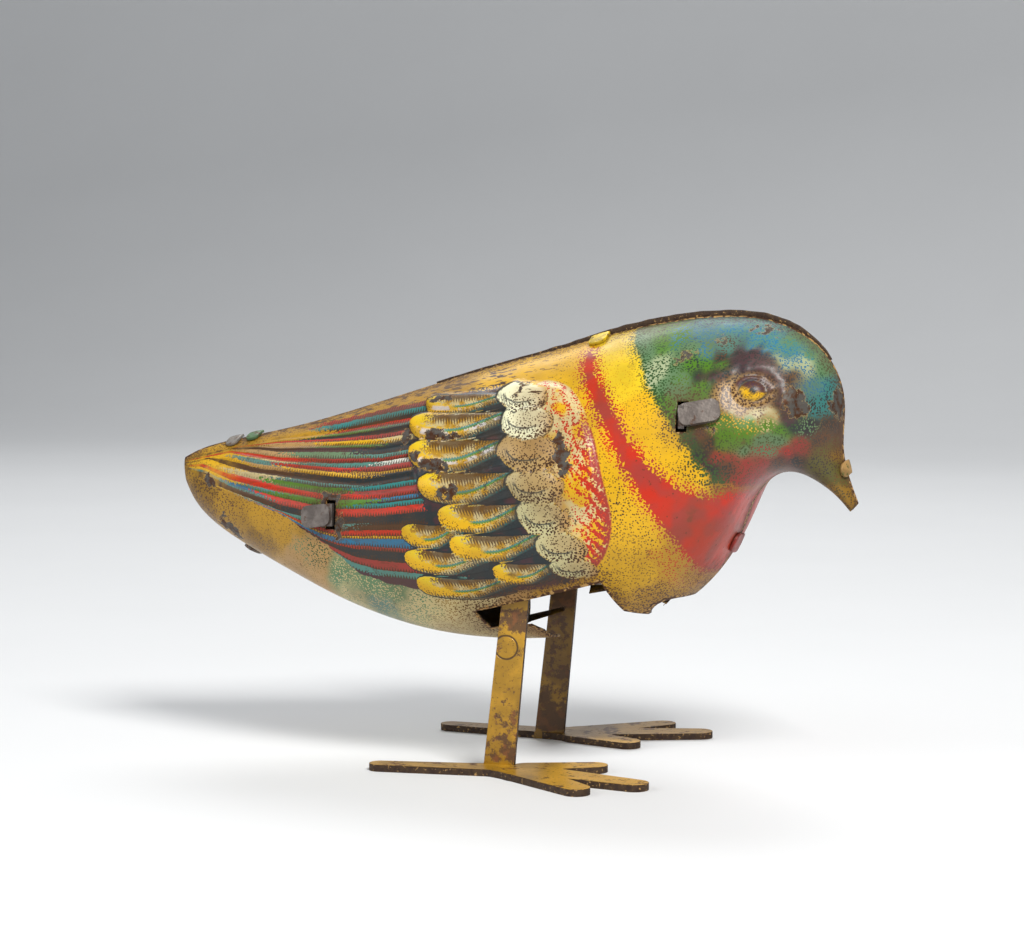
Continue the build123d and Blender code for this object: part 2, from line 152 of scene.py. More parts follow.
def rounded(corners, steps=4):
    """A closed outline through the corners with its corners rounded off."""
    p = np.array(corners, float)
    for _ in range(2):
        q = np.roll(p, -1, axis=0)
        p = np.stack([0.75 * p + 0.25 * q, 0.25 * p + 0.75 * q], axis=1).reshape(-1, 2)
    return [tuple(c) for c in p]


# Long wing feathers: tip x, root x, middle z at the tip, halfway and root, half height.
FEATHERS = [
    (-12.4, 0.6, 50.0, 50.3, 50.9, 1.25), (-13.9, 1.6, 47.4, 47.3, 48.3, 1.80),
    (-13.0, 1.8, 43.8, 43.5, 44.3, 2.10), (-10.8, 3.6, 39.7, 39.2, 40.2, 2.10),
    (-7.6, 5.4, 35.6, 35.2, 36.2, 1.90), (-5.8, 7.4, 31.7, 31.2, 32.3, 1.80),
    (0.2, 9.2, 28.2, 27.8, 28.6, 1.45), (-13.0, -3.8, 33.1, 32.5, 33.2, 1.65),
    (-12.6, -0.2, 29.6, 28.9, 29.5, 1.60), (-11.1, 3.4, 26.0, 25.4, 26.4, 1.45)]
FEATHER_ORDER = [9, 8, 7, 6, 5, 4, 3, 2, 1, 0]

# Short overlapping scales in front of them: middle x, middle z, half length, half height, tan share.
SCALES = [
    (2.3, 51.5, 3.5, 1.85, 0.1), (3.7, 48.3, 3.6, 2.15, 0.1), (4.5, 44.3, 3.9, 2.65, 0.85),
    (5.9, 40.0, 3.6, 2.45, 0.55), (7.1, 35.7, 3.2, 2.50, 0.25), (9.5, 31.7, 3.2, 2.20, 0.3),
    (11.1, 28.9, 2.9, 1.50, 0.2)]

WING_FRONT = [(4.4, 53.5), (7.6, 53.3), (9.9, 52.2), (12.4, 49.0), (14.1, 45.5), (14.9, 42.2), (15.9, 38.9),
              (16.7, 35.6), (16.2, 31.7), (13.9, 28.4)]
WING_PATCH = rounded(WING_FRONT
        + [(10.4, 26.6), (4.0, 25.4), (-1.0, 25.6), (-5.0, 28.0), (-8.6, 31.0), (-9.2, 35.0),
                                   (-10.4, 38.4), (-12.2, 42.0), (-12.8, 46.0), (-11.6, 49.6), (-7.0, 51.6),
                                   (-1.0, 52.8)])
SHOULDER = rounded(WING_FRONT
        + [(11.6, 29.6), (10.6, 32.4), (8.8, 35.4), (8.3, 40.0), (7.6, 44.4), (6.3, 48.6),
                                 (4.4, 51.8)])

RED_BAND = rounded([(9.6, 57.5), (9.9, 55.0), (11.5, 52.4), (14.2, 48.6), (16.8, 44.3), (19.2, 40.4),
(22.3, 35.4),
                    (25.3, 31.4), (27.0, 27.5), (30.0, 25.6), (34.5, 30.0), (35.5, 38.0), (32.6, 38.8),
                    (29.6, 38.6),
                    (25.2, 40.3), (21.7, 43.0), (18.6, 46.8), (16.4, 50.2), (14.6, 52.8), (12.4, 55.4),
                    (11.8, 58.0)])
# Lines that the tail's printed stripes follow: stripe place, then the x and z of each line.
STRIPE_START, STRIPE_SPAN = 60, 1100
STRIPE_LINES = [
    (85, [(-51, 41.4), (-43.4, 43.3), (-35.1, 45.1), (-28.4, 47.0), (-19.8, 48.9), (-12.4, 50.3), (0, 52)]),
    (110, [(-51, 41.3), (-43.4, 43.1), (-35.3, 44.7), (-25.8, 46.3), (-19.4, 47.8), (-12.9, 49.2),
    (0, 51)]),
    (215, [(-51, 41.1), (-43.4, 42.9), (-35.1, 44.0), (-25.1, 44.8), (-18.3, 45.6), (-12.6, 46.6),
    (0, 48)]),
    (290, [(-51, 40.9), (-43.4, 42.8), (-38.4, 43.2), (-34.6, 43.1), (-26.0, 43.6), (-17.7, 44.0),
    (-13.1, 44.8), (0, 47)]),
    (370, [(-51, 40.7), (-43.2, 42.4), (-34.0, 41.7), (-25.4, 41.7), (-17.3, 42.3), (-10.9, 43.5),
    (0, 45.5)]),
    (430, [(-51, 40.5), (-43.0, 42.0), (-37.3, 41.4), (-30.8, 41.0), (-22.4, 40.8), (-17.0, 41.0),
    (-10.6, 42.1), (0, 44)]),
    (490, [(-51, 40.3), (-46.5, 41.5), (-38.1, 40.2), (-33.4, 40.0), (-25.9, 39.5), (-19.3, 39.3),
    (-11.7, 40.8), (0, 43)]),
    (580, [(-51, 40.0), (-47.6, 40.4), (-41.9, 39.0), (-33.0, 37.8), (-25.8, 37.1), (-16.5, 37.7),
    (-10.1, 38.7), (0, 40)]),
    (690, [(-51, 39.8), (-46.5, 39.4), (-41.7, 37.8), (-32.8, 36.1), (-22.9, 34.8), (-16.3, 35.2),
    (-9.2, 36.2), (0, 37)]),
    (720, [(-51, 39.6), (-43.2, 37.5), (-32.7, 34.9), (-22.9, 34.0), (-16.2, 34.5), (-8.7, 35.3), (0, 36)]),
    (800, [(-51, 39.5), (-43.2, 37.4), (-32.7, 34.7), (-28.0, 33.1), (-22.9, 32.3), (-16.2, 32.7),
    (0, 33.5)]),
    (870, [(-51, 39.4), (-43.2, 37.3), (-32.7, 34.5), (-25.8, 31.6), (-22.6, 31.1), (-16.2, 31.1),
    (0, 31.1)]),
    (980, [(-51, 39.3), (-43.2, 37.2), (-32.7, 34.2), (-24.5, 30.4), (-20.3, 28.9), (-16.4, 28.5),
    (0, 28.2)]),
    (1110, [(-51, 39.2), (-43.2, 37.0), (-32.7, 33.9), (-25.2, 30.0), (-21.4, 27.3), (-16.8, 25.6),
    (-10.6, 25.2), (0, 25.0)])]
STRIPE_TOP = [(-51.0, 41.6), (-43.4, 43.3), (-35.1, 45.0), (-28.4, 46.9), (-19.8, 48.9), (-12.4, 50.6),
        (-6.0, 51.8)]
STRIPE_LOW = [(-50.2, 39.6), (-43.2, 37.2), (-32.7, 34.5), (-24.6, 30.4), (-19.6, 26.7), (-14.3, 25.4),
        (-6.0, 24.6),
              (2.0, 24.6)]
STRIPED = STRIPE_TOP + [(2.0, 52.0)] + STRIPE_LOW[::-1]

# Paint under the patterns: x, z, main colour, dot colour, share of dots.
INK = {
    "yellow": "D9A712", "lemon": "E0BE20", "ochre": "8F6A18", "gold": "B5881F", "tan": "B08A52",
    "cream": "C4B27E",
    "pale": "AEB890", "brown": "4A2F18", "dirt": "5E4326", "red": "BF2A12", "brick": "96332A",
    "green": "4E7F1C",
    "deep": "2A4D22", "sage": "5F8158", "teal": "2E7F7C", "sea": "4F8378", "blue": "1C6E92",
    "char": "232A2C",
    "olive": "5C5A26", "white": "D9D8CC", "steel": "8A847C", "rust": "5C3A24", "plum": "4B3035"}
BODY_INKS = [
    (-50, 40, "gold", "dirt", .30), (-46, 42, "yellow", "ochre", .25), (-46.5, 38, "ochre", "brown", .55),
    (-47, 35, "ochre", "rust", .45), (-42, 43.6, "gold", "brown", .35), (-42, 34, "gold", "rust", .30),
    (-37, 33, "gold", "ochre", .25), (-37, 30, "ochre", "dirt", .35), (-36, 45.4, "gold", "dirt", .30),
    (-32, 31.5, "gold", "ochre", .20), (-31, 28, "tan", "ochre", .25), (-28, 46.8, "gold", "dirt", .34),
    (-26.5, 29, "tan", "deep", .40), (-29.8, 29.5, "tan", "sage", .34), (-27, 25, "tan", "ochre", .25),
    (-23.5, 26, "sage", "cream", .42),
    (-22, 22.5, "cream", "sage", .45), (-19, 25, "sage", "cream", .40), (-18, 21.5, "sea", "cream", .40),
    (-14.5, 24, "sage", "cream", .38), (-14, 21, "cream", "sage", .45), (-20, 50, "gold", "dirt", .36),
    (-11, 52.3, "gold", "dirt", .36), (-11, 22.5, "cream", "sage", .42),
    (-8.5, 19.5, "cream", "ochre", .35),
    (-5.5, 22, "cream", "ochre", .40), (-1, 22, "cream", "brown", .30), (-4, 53.8, "yellow", "brown", .30),
    (3, 23.5, "tan", "ochre", .40), (4, 55.5, "yellow", "ochre", .22), (8, 24.5, "gold", "ochre", .35),
    (9, 57, "yellow", "ochre", .20), (12.5, 26.5, "gold", "ochre", .30), (16, 23, "gold", "dirt", .36),
    (16.5, 27.5, "yellow", "ochre", .28), (18, 32, "yellow", "ochre", .30),
    (17.5, 38, "yellow", "brown", .32),
    (15.5, 43, "yellow", "ochre", .25), (12, 51, "yellow", "ochre", .30), (20, 28, "yellow", "ochre", .28),
    (21.5, 24.5, "gold", "rust", .46), (24, 29, "gold", "red", .30), (21, 34, "yellow", "brown", .24),
    (14, 56.5, "lemon", "yellow", .30), (17, 54, "lemon", "yellow", .25), (20, 49, "yellow", "ochre", .15),
    (24, 44.5, "yellow", "ochre", .15), (28, 41, "yellow", "brown", .35),
    (30.5, 40.5, "ochre", "brick", .50),
    (46.4, 37.6, "ochre", "olive", .50), (31.5, 37.0, "brick", "rust", .40),
    (30.5, 30.0, "brick", "rust", .40)]
HEAD_INKS = [
    (19.3, 57.5, "sage", "deep", .30), (21.0, 58.6, "green", "deep", .40),
    (23.6, 59.7, "green", "blue", .50),
    (25.7, 60.4, "sea", "blue", .50), (28.0, 60.3, "sea", "blue", .52), (30.4, 60.7, "sea", "blue", .55),
    (33.4, 60.8, "sea", "blue", .52), (36.2, 60.2, "sea", "blue", .48), (38.7, 59.2, "sage", "teal", .42),
    (41.1, 57.7, "sage", "teal", .38), (42.9, 55.7, "sage", "deep", .36), (44.2, 52.9, "teal", "char", .40),
    # The pale row at (40.5, 56.3) is a painted highlight on the crown.
    (40.5, 56.3, "pale", "blue", .42), (38.5, 57.7, "sea", "blue", .50), (36.3, 58.6, "sea", "blue", .50),
    (33.3, 59.1, "sea", "blue", .44), (30.2, 58.6, "sea", "brown", .40), (27.5, 58.2, "sage", "blue", .42),
    # The pale rows at (21.7, 56.0) and (21.0, 54.1) are a painted highlight on the nape.
    (25.3, 57.7, "sage", "deep", .40), (21.7, 56.0, "pale", "deep", .50), (21.0, 54.1, "pale", "deep", .42),
    (23.5, 55.6, "sage", "deep", .50), (26.0, 56.0, "green", "char", .50),
    (27.9, 55.9, "green", "deep", .42),
    (30.1, 55.9, "green", "deep", .50), (27.0, 54.7, "char", "deep", .30),
    (28.9, 54.5, "char", "deep", .30),
    (22.8, 53.1, "sage", "deep", .46), (24.9, 53.9, "sage", "green", .40),
    (27.8, 53.5, "green", "deep", .42),
    (22.5, 51.2, "green", "deep", .46), (24.1, 49.6, "green", "deep", .50),
    (25.7, 47.4, "deep", "green", .45),
    (27.1, 45.9, "deep", "char", .50), (28.4, 44.2, "char", "deep", .45), (29.6, 42.6, "char", "deep", .40),
    (31.5, 42.4, "rust", "char", .48), (30.4, 54.1, "rust", "char", .45), (31.1, 53.3, "tan", "brown", .64),
    (31.7, 52.1, "tan", "brown", .64), (31.0, 50.9, "tan", "brown", .64), (32.9, 50.1, "tan", "brown", .64),
    (35.1, 49.6, "cream", "brown", .44), (37.1, 49.4, "cream", "tan", .35),
    (33.9, 51.2, "tan", "brown", .58),
    (36.0, 51.0, "rust", "brown", .50), (37.3, 51.3, "rust", "char", .50),
    (30.0, 56.9, "char", "rust", .40),
    (32.3, 57.4, "char", "plum", .45), (34.2, 57.5, "plum", "char", .50), (32.9, 55.8, "char", "plum", .45),
    (35.5, 55.8, "plum", "rust", .50), (36.5, 54.0, "rust", "plum", .50), (37.8, 51.8, "char", "rust", .45),
    (38.5, 49.7, "char", "rust", .45), (39.2, 48.3, "char", "deep", .50), (38.3, 54.5, "rust", "char", .50),
    # The pale row at (38.0, 56.3) is a painted highlight on the crown.
    (38.0, 56.3, "pale", "blue", .40), (42.2, 53.1, "sea", "blue", .42), (42.4, 50.6, "teal", "char", .50),
    (43.5, 50.0, "teal", "char", .50), (41.7, 47.9, "char", "sage", .40), (43.7, 48.1, "char", "rust", .40),
    (29.9, 48.4, "green", "tan", .36), (31.2, 48.9, "green", "yellow", .40),
    (32.8, 48.5, "green", "yellow", .32),
    (34.7, 48.5, "green", "yellow", .36), (36.6, 48.4, "green", "cream", .42),
    (38.2, 47.3, "green", "deep", .42),
    (31.8, 46.9, "green", "deep", .20), (34.0, 46.5, "green", "deep", .30),
    (36.1, 46.4, "sage", "deep", .42),
    (37.7, 45.8, "sage", "deep", .46), (31.0, 45.3, "green", "deep", .45),
    (33.6, 44.7, "sage", "deep", .50),
    (36.0, 44.6, "sage", "brick", .50), (28.3, 47.3, "rust", "char", .45),
    (29.6, 45.7, "char", "rust", .42),
    (30.1, 44.2, "brick", "char", .42), (31.8, 43.6, "brick", "rust", .30),
    (33.8, 43.2, "brick", "rust", .28),
    (35.8, 43.3, "brick", "rust", .26), (38.3, 44.3, "brick", "red", .30),
    (40.4, 45.1, "brick", "rust", .36),
    (37.5, 42.9, "rust", "char", .40), (39.6, 43.3, "char", "rust", .45),
    (34.6, 41.3, "brick", "rust", .38),
    (33.6, 40.1, "brick", "rust", .35), (43.2, 44.5, "olive", "rust", .50),
    (44.3, 45.1, "rust", "olive", .50),
    (41.9, 43.1, "olive", "char", .38), (43.9, 41.9, "olive", "char", .36),
    (45.1, 39.8, "olive", "ochre", .40),
    (46.4, 37.5, "ochre", "olive", .45), (45.2, 43.6, "ochre", "rust", .45),
    (43.0, 45.9, "rust", "char", .45)]
# Where the yellow neck turns to green.
NECK_EDGE = [(14.8, 63.5), (16.9, 58.7), (19.3, 55.3), (21.2, 52.0), (23.5, 48.9), (25.5, 46.3),
        (27.4, 43.7),
             (29.7, 41.1), (33.0, 39.6), (50.0, 39.6), (50.0, 66.0), (14.8, 66.0)]


def linear(code):
    """Scene-linear colour from a two-digit-per-channel code."""
    channels = [int(code[k:k + 2], 16) / 255 for k in (0, 2, 4)]
    return [c / 12.92 if c <= 0.04045 else ((c + 0.055) / 1.055) ** 2.4 for c in channels]


PAINT = {name: np.array(linear(code)) for name, code in INK.items()}


def tint(name, strength=1.0):
    """A paint's linear colour, lightened or darkened by its strength."""
    return tuple(PAINT[name] * strength)


def spread(x, z, rows, softness=1.0):
    """Main colour, dot colour and dot share at each point, from the nearest rows of a paint table."""
    total = np.zeros(x.shape)
    main, dots, share = np.zeros(x.shape + (3,)), np.zeros(x.shape + (3,)), np.zeros(x.shape)
    for px, pz, a, b, amount in rows:
        weight = 1 / ((x - px) ** 2 + (z - pz) ** 2 + softness) ** 2.4
        total += weight
        main += weight[..., None] * PAINT[a]
        dots += weight[..., None] * PAINT[b]
        share += weight * amount
    return main / total[..., None], dots / total[..., None], share / total


def ripples(x, z, seed, short, long, waves=16):
    """A few fixed waves between two lengths, from about -1 to 1, for unevenness that has no pattern."""
    random = np.random.default_rng(seed)
    total = np.zeros(x.shape)
    for _ in range(waves):
        angle, length, phase = random.uniform(0, math.pi), random.uniform(short, long), random.uniform(0,
                2 * math.pi)
        total += np.sin((x * math.cos(angle) + z * math.sin(angle)) / length * 2 * math.pi + phase)
    return total / math.sqrt(waves / 2) / 1.6


def feather_place(x, z, feather):
    """Share of the length from the tip, height above the middle line in half heights,
    and distance inside."""
    tip, root, z_tip, z_mid, z_root, half = feather
    u = (x - tip) / (root - tip)
    middle = z_tip * (1 - u) * (1 - 2 * u) + 4 * z_mid * u * (1 - u) + z_root * u * (2 * u - 1)
    from_tip = np.clip((x - tip) / (1.9 * half), 0, 1)
    reach = half * np.sqrt(np.clip(1 - (1 - from_tip) ** 2.2, 0, 1)) * (1 - 0.22 * smooth(0.55, 1.05, u))
    v = (z - middle) / np.maximum(reach, 0.05)
    inside = np.minimum((1 - np.abs(v)) * np.maximum(reach, 0.3), np.minimum(x - tip, 1.5 * (root - x)))
    return u, v, inside, z - (middle - reach)


def side_pattern(x, z):
    """All the paint numbers and the embossed height at points of the side, as a dictionary of arrays."""
    out = {}
    # stripes of the tail
    places = np.array([place for place, _ in STRIPE_LINES], float)
    levels = np.stack([np.interp(x, *zip(*line)) for _, line in STRIPE_LINES])
    stripe = np.full(x.shape, places[0])
    for k in range(len(places) - 1):
        upper, lower = levels[k], levels[k + 1]
        part = np.clip((upper - z) / np.maximum(upper - lower, 1e-3), 0, 1)
        stripe = np.where(z <= upper, places[k] + part * (places[k + 1] - places[k]), stripe)
    out["stripe"] = (stripe - STRIPE_START) / STRIPE_SPAN
    out["striped"] = polygon_distance(x, z, STRIPED)
    flute = np.cos((stripe - 400) / 105 * 2 * math.pi)
    relief = 0.20 * flute * smooth(0.2, 1.4, out["striped"]) * smooth(-47, -36, x)
    # wing patch and its parts
    patch = polygon_distance(x, z, WING_PATCH)
    front = path_distance(x, z, WING_FRONT)
    relief = relief * smooth(0.3, -0.6, patch) + 0.34 * smooth(-0.15, 1.0, patch)
    shoulder = polygon_distance(x, z, SHOULDER)
    scale_low, lobe_edge, lobe_on = np.full(x.shape, -9.0), np.full(x.shape, 1.0), np.zeros(x.shape)
    drift_x, drift_z = 0.8 * ripples(x, z, 31, 2.0, 7.0), 0.8 * ripples(x, z, 37, 2.0, 7.0)
    on_head = polygon_distance(x, z, NECK_EDGE) + 0.25 * ripples(x, z, 61, 1.2, 5.0)
    body, head = spread(x + drift_x, z + drift_z, BODY_INKS), spread(x + 0.4 * drift_x, z + 0.4 * drift_z,
            HEAD_INKS, 0.3)
    mask = smooth(-0.25, 0.25, on_head)
    head = (head[0] * 0.88, *head[1:])
    main, dots, share = (b + (h - b) * (mask[..., None] if b.ndim > x.ndim else mask) for b,
            h in zip(body, head))
    near = np.exp(-(on_head / 1.1) ** 2) * smooth(33.0, 30.5, x)
    share = share * (1 - 0.35 * near) + 0.48 * near * np.where(on_head > 0, 1.0, 0.9)
    dots = dots * (1 - near[..., None]) + PAINT["deep"] * near[..., None]
    line = np.full(x.shape, 9.0)
    feather_in, feather_up, feather_u = np.full(x.shape, -9.0), np.zeros(x.shape), np.zeros(x.shape)
    for k in FEATHER_ORDER:
        u, v, inside, above = feather_place(x, z, FEATHERS[k])
        half = FEATHERS[k][5]
        lower_edge = half * (0.02 + 0.85 * smooth(0.42, 1.05, u))
        take = inside > np.where(feather_in > 0, -0.02, feather_in)
        take = np.where((feather_in > 0.0) & (inside < 0), False, take)
        feather_in = np.where(take, inside, feather_in)
        feather_up = np.where(take, (above - lower_edge) / (2 * half), feather_up)
        feather_u = np.where(take, u, feather_u)
        crown = 0.80 * np.sqrt(np.clip(1 - np.clip(np.abs(v + 0.12), 0, 1) ** 2.6, 0, 1)) * smooth(0.0, 0.5,
                inside)
        crown *= 1 - 0.75 * smooth(0.65, 1.0, u)
        relief = np.where(inside > 0, 0.22 + crown, relief)
    out["feather"] = feather_in
    out["feather_up"] = feather_up
    out["feather_u"] = feather_u
    # shoulder streaks
    relief = relief + (0.55 - relief) * smooth(-0.4, 0.8, shoulder) * smooth(0.0, 1.2, front)
    out["shoulder"] = shoulder
    out["front"] = front
    # scales
    for cx, cz, a, b, tan in reversed(SCALES):
        dx, dz = (x - cx) / a, (z - cz) / b
        dx = np.where(dx > 0, dx * 0.80, dx)
        r = np.sqrt(dx * dx + dz * dz + 0.25 * dx * dz) * (1 + 0.05 * ripples(x, z, 41, 1.5, 4.0))
        inside = (1 - r) * min(a, b)
        fade = smooth(0.25, 0.95, dx)
        here = inside > 0
        tone = (PAINT["pale"] * 0.75 + PAINT["cream"] * 0.40) * (1 - tan) + PAINT["tan"] * tan
        # The scales highest on the wing are lightened and turned bluer: a painted highlight.
        tone = tone * (1 + np.array((0.70, 0.72, 1.15)) * smooth(45.5, 49.0, cz))
        tone = tone[None, :] * (1 - fade[..., None]) + PAINT["tan"][None, :] * fade[..., None]
        if here.any():
            main[here], dots[here] = tone[here], PAINT["brown"] * 0.8
            share[here] = (0.12 + 0.40 * smooth(0.10, -0.60, dz) + 0.30 * fade)[here]
        scale_low = np.where(here, inside, np.maximum(scale_low, inside))
        edge = np.abs(inside + 0.02) + 3.0 * smooth(0.0, 0.45, dx)
        lobe = np.sqrt(dx * dx * 1.1 + (dz - 0.24) ** 2 * 1.25)
        lobe_edge = np.where(here, (lobe - 0.70) * b, lobe_edge)
        lobe_on = np.where(here, smooth(0.25, 0.0, dz) * smooth(0.60, 0.30, dx), lobe_on)
        if here.any():
            core = (smooth(0.75, 0.62, lobe) * smooth(-0.9, 0.2, dx) * (0.35 + 0.5 * tan))[here][..., None]
            main[here] = main[here] * (1 - core) + PAINT["tan"] * 0.8 * core
            share[here] = share[here] + core[..., 0] * 0.20
        line = np.where(here, edge, np.where(inside > -0.5, np.minimum(line, edge), line))
        bump = 0.30 + 0.85 * np.sqrt(np.clip(1 - r ** 2.4, 0, 1)) * (1 - 0.45 * fade)
        relief = np.where(here, np.maximum(bump, 0.42 * fade), relief)
    out["scale"] = scale_low
    out["line"] = line
    out["lobe"], out["lobe_on"] = lobe_edge, lobe_on
    out["patch"] = patch
    out["red"] = polygon_distance(x, z, RED_BAND)
    relief, main, dots, share = head_details(x, z, relief, main, dots, share)
    out["relief"] = relief
    out["main"], out["dots"], out["share"] = main, dots, share
    out["chip"] = chip_field(x, z)
    top = np.interp(x, *zip(*STRIPE_TOP))
    out["back"] = smooth(-0.6, 0.4, z - top) * smooth(14, 2, x)
    return out


EYE = (34.5, 52.8)
BROW = rounded([(26.2, 54.2), (29.4, 55.2), (31.2, 56.9), (33.4, 58.3), (36.4, 57.6), (38.4, 55.2),
        (39.8, 51.8), (40.2, 48.4),
                (38.6, 48.0), (37.9, 50.6), (37.2, 53.6), (35.6, 55.2), (33.2, 55.3), (30.6, 54.6),
                (28.2, 53.9)])


def head_details(x, z, relief, main, dots, share):
    """Eye, lids, brow and cheek: embossing and colour."""
    ex, ez = x - EYE[0], z - EYE[1]
    turned_x, turned_z = ex * 0.985 - ez * 0.17, ez * 0.985 + ex * 0.17
    ball = np.hypot(turned_x / 1.75, turned_z / 1.30)
    socket = np.hypot(ex / 4.8, (ez + 0.4) / 3.6)
    cheek = np.hypot((x - 34.4) / 5.6, (z - 46.8) / 2.8)
    wander_x, wander_z = 0.35 * ripples(x, z, 43, 0.9, 3.0), 0.35 * ripples(x, z, 47, 0.9, 3.0)
    brow = polygon_distance(x + wander_x, z + wander_z, BROW)
    relief = relief - 0.42 * (1 - smooth(0.35, 1.0, socket)) + 0.34 * (1 - smooth(0.0, 1.0, cheek))
    relief = relief + 0.32 * smooth(-1.1, 1.1, brow)
    relief = relief + 0.75 * np.sqrt(np.clip(1 - ball ** 2, 0, 1))
    lid_line = np.abs(ball - 1.25)
    relief = relief + 0.32 * (1 - smooth(0.0, 0.36, lid_line)) * smooth(-0.75, 0.35, turned_z / 1.3)
    lower_lid = (1 - smooth(0.0, 0.30, lid_line)) * smooth(0.2, -0.6, turned_z / 1.3)
    relief = relief + 0.22 * lower_lid
    def put(mask, a, b, amount):
        m = mask[..., None]
        return main * (1 - m) + PAINT[a] * m, dots * (1 - m) + PAINT[b] * m, share * (1
                - mask) + amount * mask
    main, dots, share = put(smooth(-0.35, 0.45, brow) * 0.75, "plum", "char", 0.55)
    main, dots, share = put((1 - smooth(1.3, 2.1, ball)) * 0.7, "tan", "brown", 0.60)
    main, dots, share = put((1 - smooth(1.30, 1.75, ball)) * smooth(-0.1, 0.5, turned_z), "rust", "char",
            0.5)
    iris = 1 - smooth(0.90, 1.0, ball)
    main, dots, share = put(iris, "yellow", "ochre", 0.25)
    drooped = iris * smooth(-0.05, 0.20, turned_z + 0.10 * turned_x)
    main, dots, share = put(drooped, "plum", "rust", 0.40)
    pupil = 1 - smooth(0.42, 0.58, np.hypot(turned_x - 0.15, turned_z - 0.05))
    main, dots, share = put(pupil, "char", "brown", 0.2)
    lid = (1 - smooth(0.10, 0.30, lid_line)) * smooth(-0.2, 0.5, turned_z / 1.3)
    main, dots, share = put(lid, "plum", "rust", 0.45)
    rim = (1 - smooth(0.02, 0.16, np.abs(ball - 1.03)))
    main, dots, share = put(rim, "char", "brown", 0.2)
    return relief, main, dots, share


# Places where the print has flaked off: x, z, half length, half height, turn in degrees, bareness.
CHIPS = [
    (9.6, 44.4, 1.0, 2.9, 12, 1.0), (11.6, 35.4, 0.45, 0.9, 10, 0.8), (-9.6, 50.9, 1.7, 0.55, 4, 0.9),
    (-8.2, 46.2, 3.0, 0.75, -3, 0.85), (-11.9, 43.3, 0.9, 0.7, -30, 0.9), (-8.4, 42.2, 3.2, 0.85, -8, 0.9),
    (-5.8, 38.6, 1.4, 1.1, 20, 1.0), (-3.0, 33.9, 0.6, 0.4, 0, 0.7), (2.2, 52.2, 0.8, 0.5, 0, 0.7),
    (39.7, 51.2, 1.3, 2.4, 22, 1.0), (44.9, 50.9, 1.1, 1.8, 8, 1.0), (29.5, 59.4, 0.7, 0.6, 0, 0.8),
    (35.6, 60.6, 1.1, 0.35, -8, 0.8), (33.2, 60.9, 0.6, 0.3, 0, 0.7), (24.8, 57.1, 1.4, 0.45, 18, 0.7),
    (-24.6, 36.6, 1.6, 1.3, 0, 0.8), (-22.9, 33.2, 0.9, 1.6, 0, 0.8), (-14.2, 45.6, 0.8, 1.3, 0, 0.5),
    (-45.6, 38.6, 1.6, 0.9, -35, 0.6), (-42.4, 31.9, 2.6, 0.9, -38, 0.8), (29.0, 47.9, 0.9, 0.6, -30, 0.6)]


def chip_field(x, z):
    """How bare the metal is: above zero inside a flaked place, falling off round it, in millimetres."""
    best = np.full(x.shape, -9.0)
    x, z = x + 0.35 * ripples(x, z, 53, 1.0, 3.5), z + 0.35 * ripples(x, z, 59, 1.0, 3.5)
    for cx, cz, a, b, turn, bare in CHIPS:
        c, s = math.cos(math.radians(turn)), math.sin(math.radians(turn))
        dx, dz = (x - cx) * c + (z - cz) * s, -(x - cx) * s + (z - cz) * c
        r = np.hypot(dx / a, dz / b)
        best = np.maximum(best, (1 - r) * min(a, b) * 0.9 + (bare - 1) * 0.3)
    return best


# ---------------------------------------------------------------- shell meshes
COLUMNS, ROWS = 344, 164
INNER_STEP = 4
FINE_SAMPLES = 260


def column_places():
    """Surface places along the body, closer together on the wing and the face."""
    t = np.linspace(0, 1, 2001)
    x = blend((STATIONS[:, 0] + STATIONS[:, 2]) / 2, t)
    step = np.hypot(np.gradient(blend(STATIONS[:, 0], t)) + np.gradient(blend(STATIONS[:, 2], t)),
                    np.gradient(blend(STATIONS[:, 1], t)) + np.gradient(blend(STATIONS[:, 3], t))) / 2
    wanted = 1 + 0.9 * smooth(-17, -13, x) * smooth(19, 16, x) + 0.35 * smooth(24, 28, x) * smooth(42, 39,
            x)
    length = np.concatenate([[0], np.cumsum((step * wanted)[1:])])
    return np.interp(np.linspace(0, length[-1], COLUMNS + 1), length, t)


def grid_of_skin():
    """Outer points of the bare right half: an even spacing up each section."""
    t = column_places()
    height = np.sin(math.pi * (np.linspace(0, 1, FINE_SAMPLES) - 0.5))
    fine = skin_points(t[:, None] + 0 * height[None, :], height[None, :] + 0 * t[:, None])
    steps = np.linalg.norm(np.diff(fine, axis=1), axis=2)
    length = np.concatenate([np.zeros((len(t), 1)), np.cumsum(steps, axis=1)], axis=1)
    grid = np.zeros((len(t), ROWS + 1, 3))
    for i in range(len(t)):
        even = np.linspace(0, length[i, -1], ROWS + 1)
        for axis in range(3):
            grid[i, :, axis] = np.interp(even, length[i], fine[i, :, axis])
    return grid


def grid_normals(grid):
    along = np.gradient(grid, axis=0)
    across = np.gradient(grid, axis=1)
    normal = np.cross(across, along)
    normal /= np.maximum(np.linalg.norm(normal, axis=2, keepdims=True), 1e-9)
    if normal[len(grid) // 2, ROWS // 2, 1] > 0:
        normal = -normal
    return normal


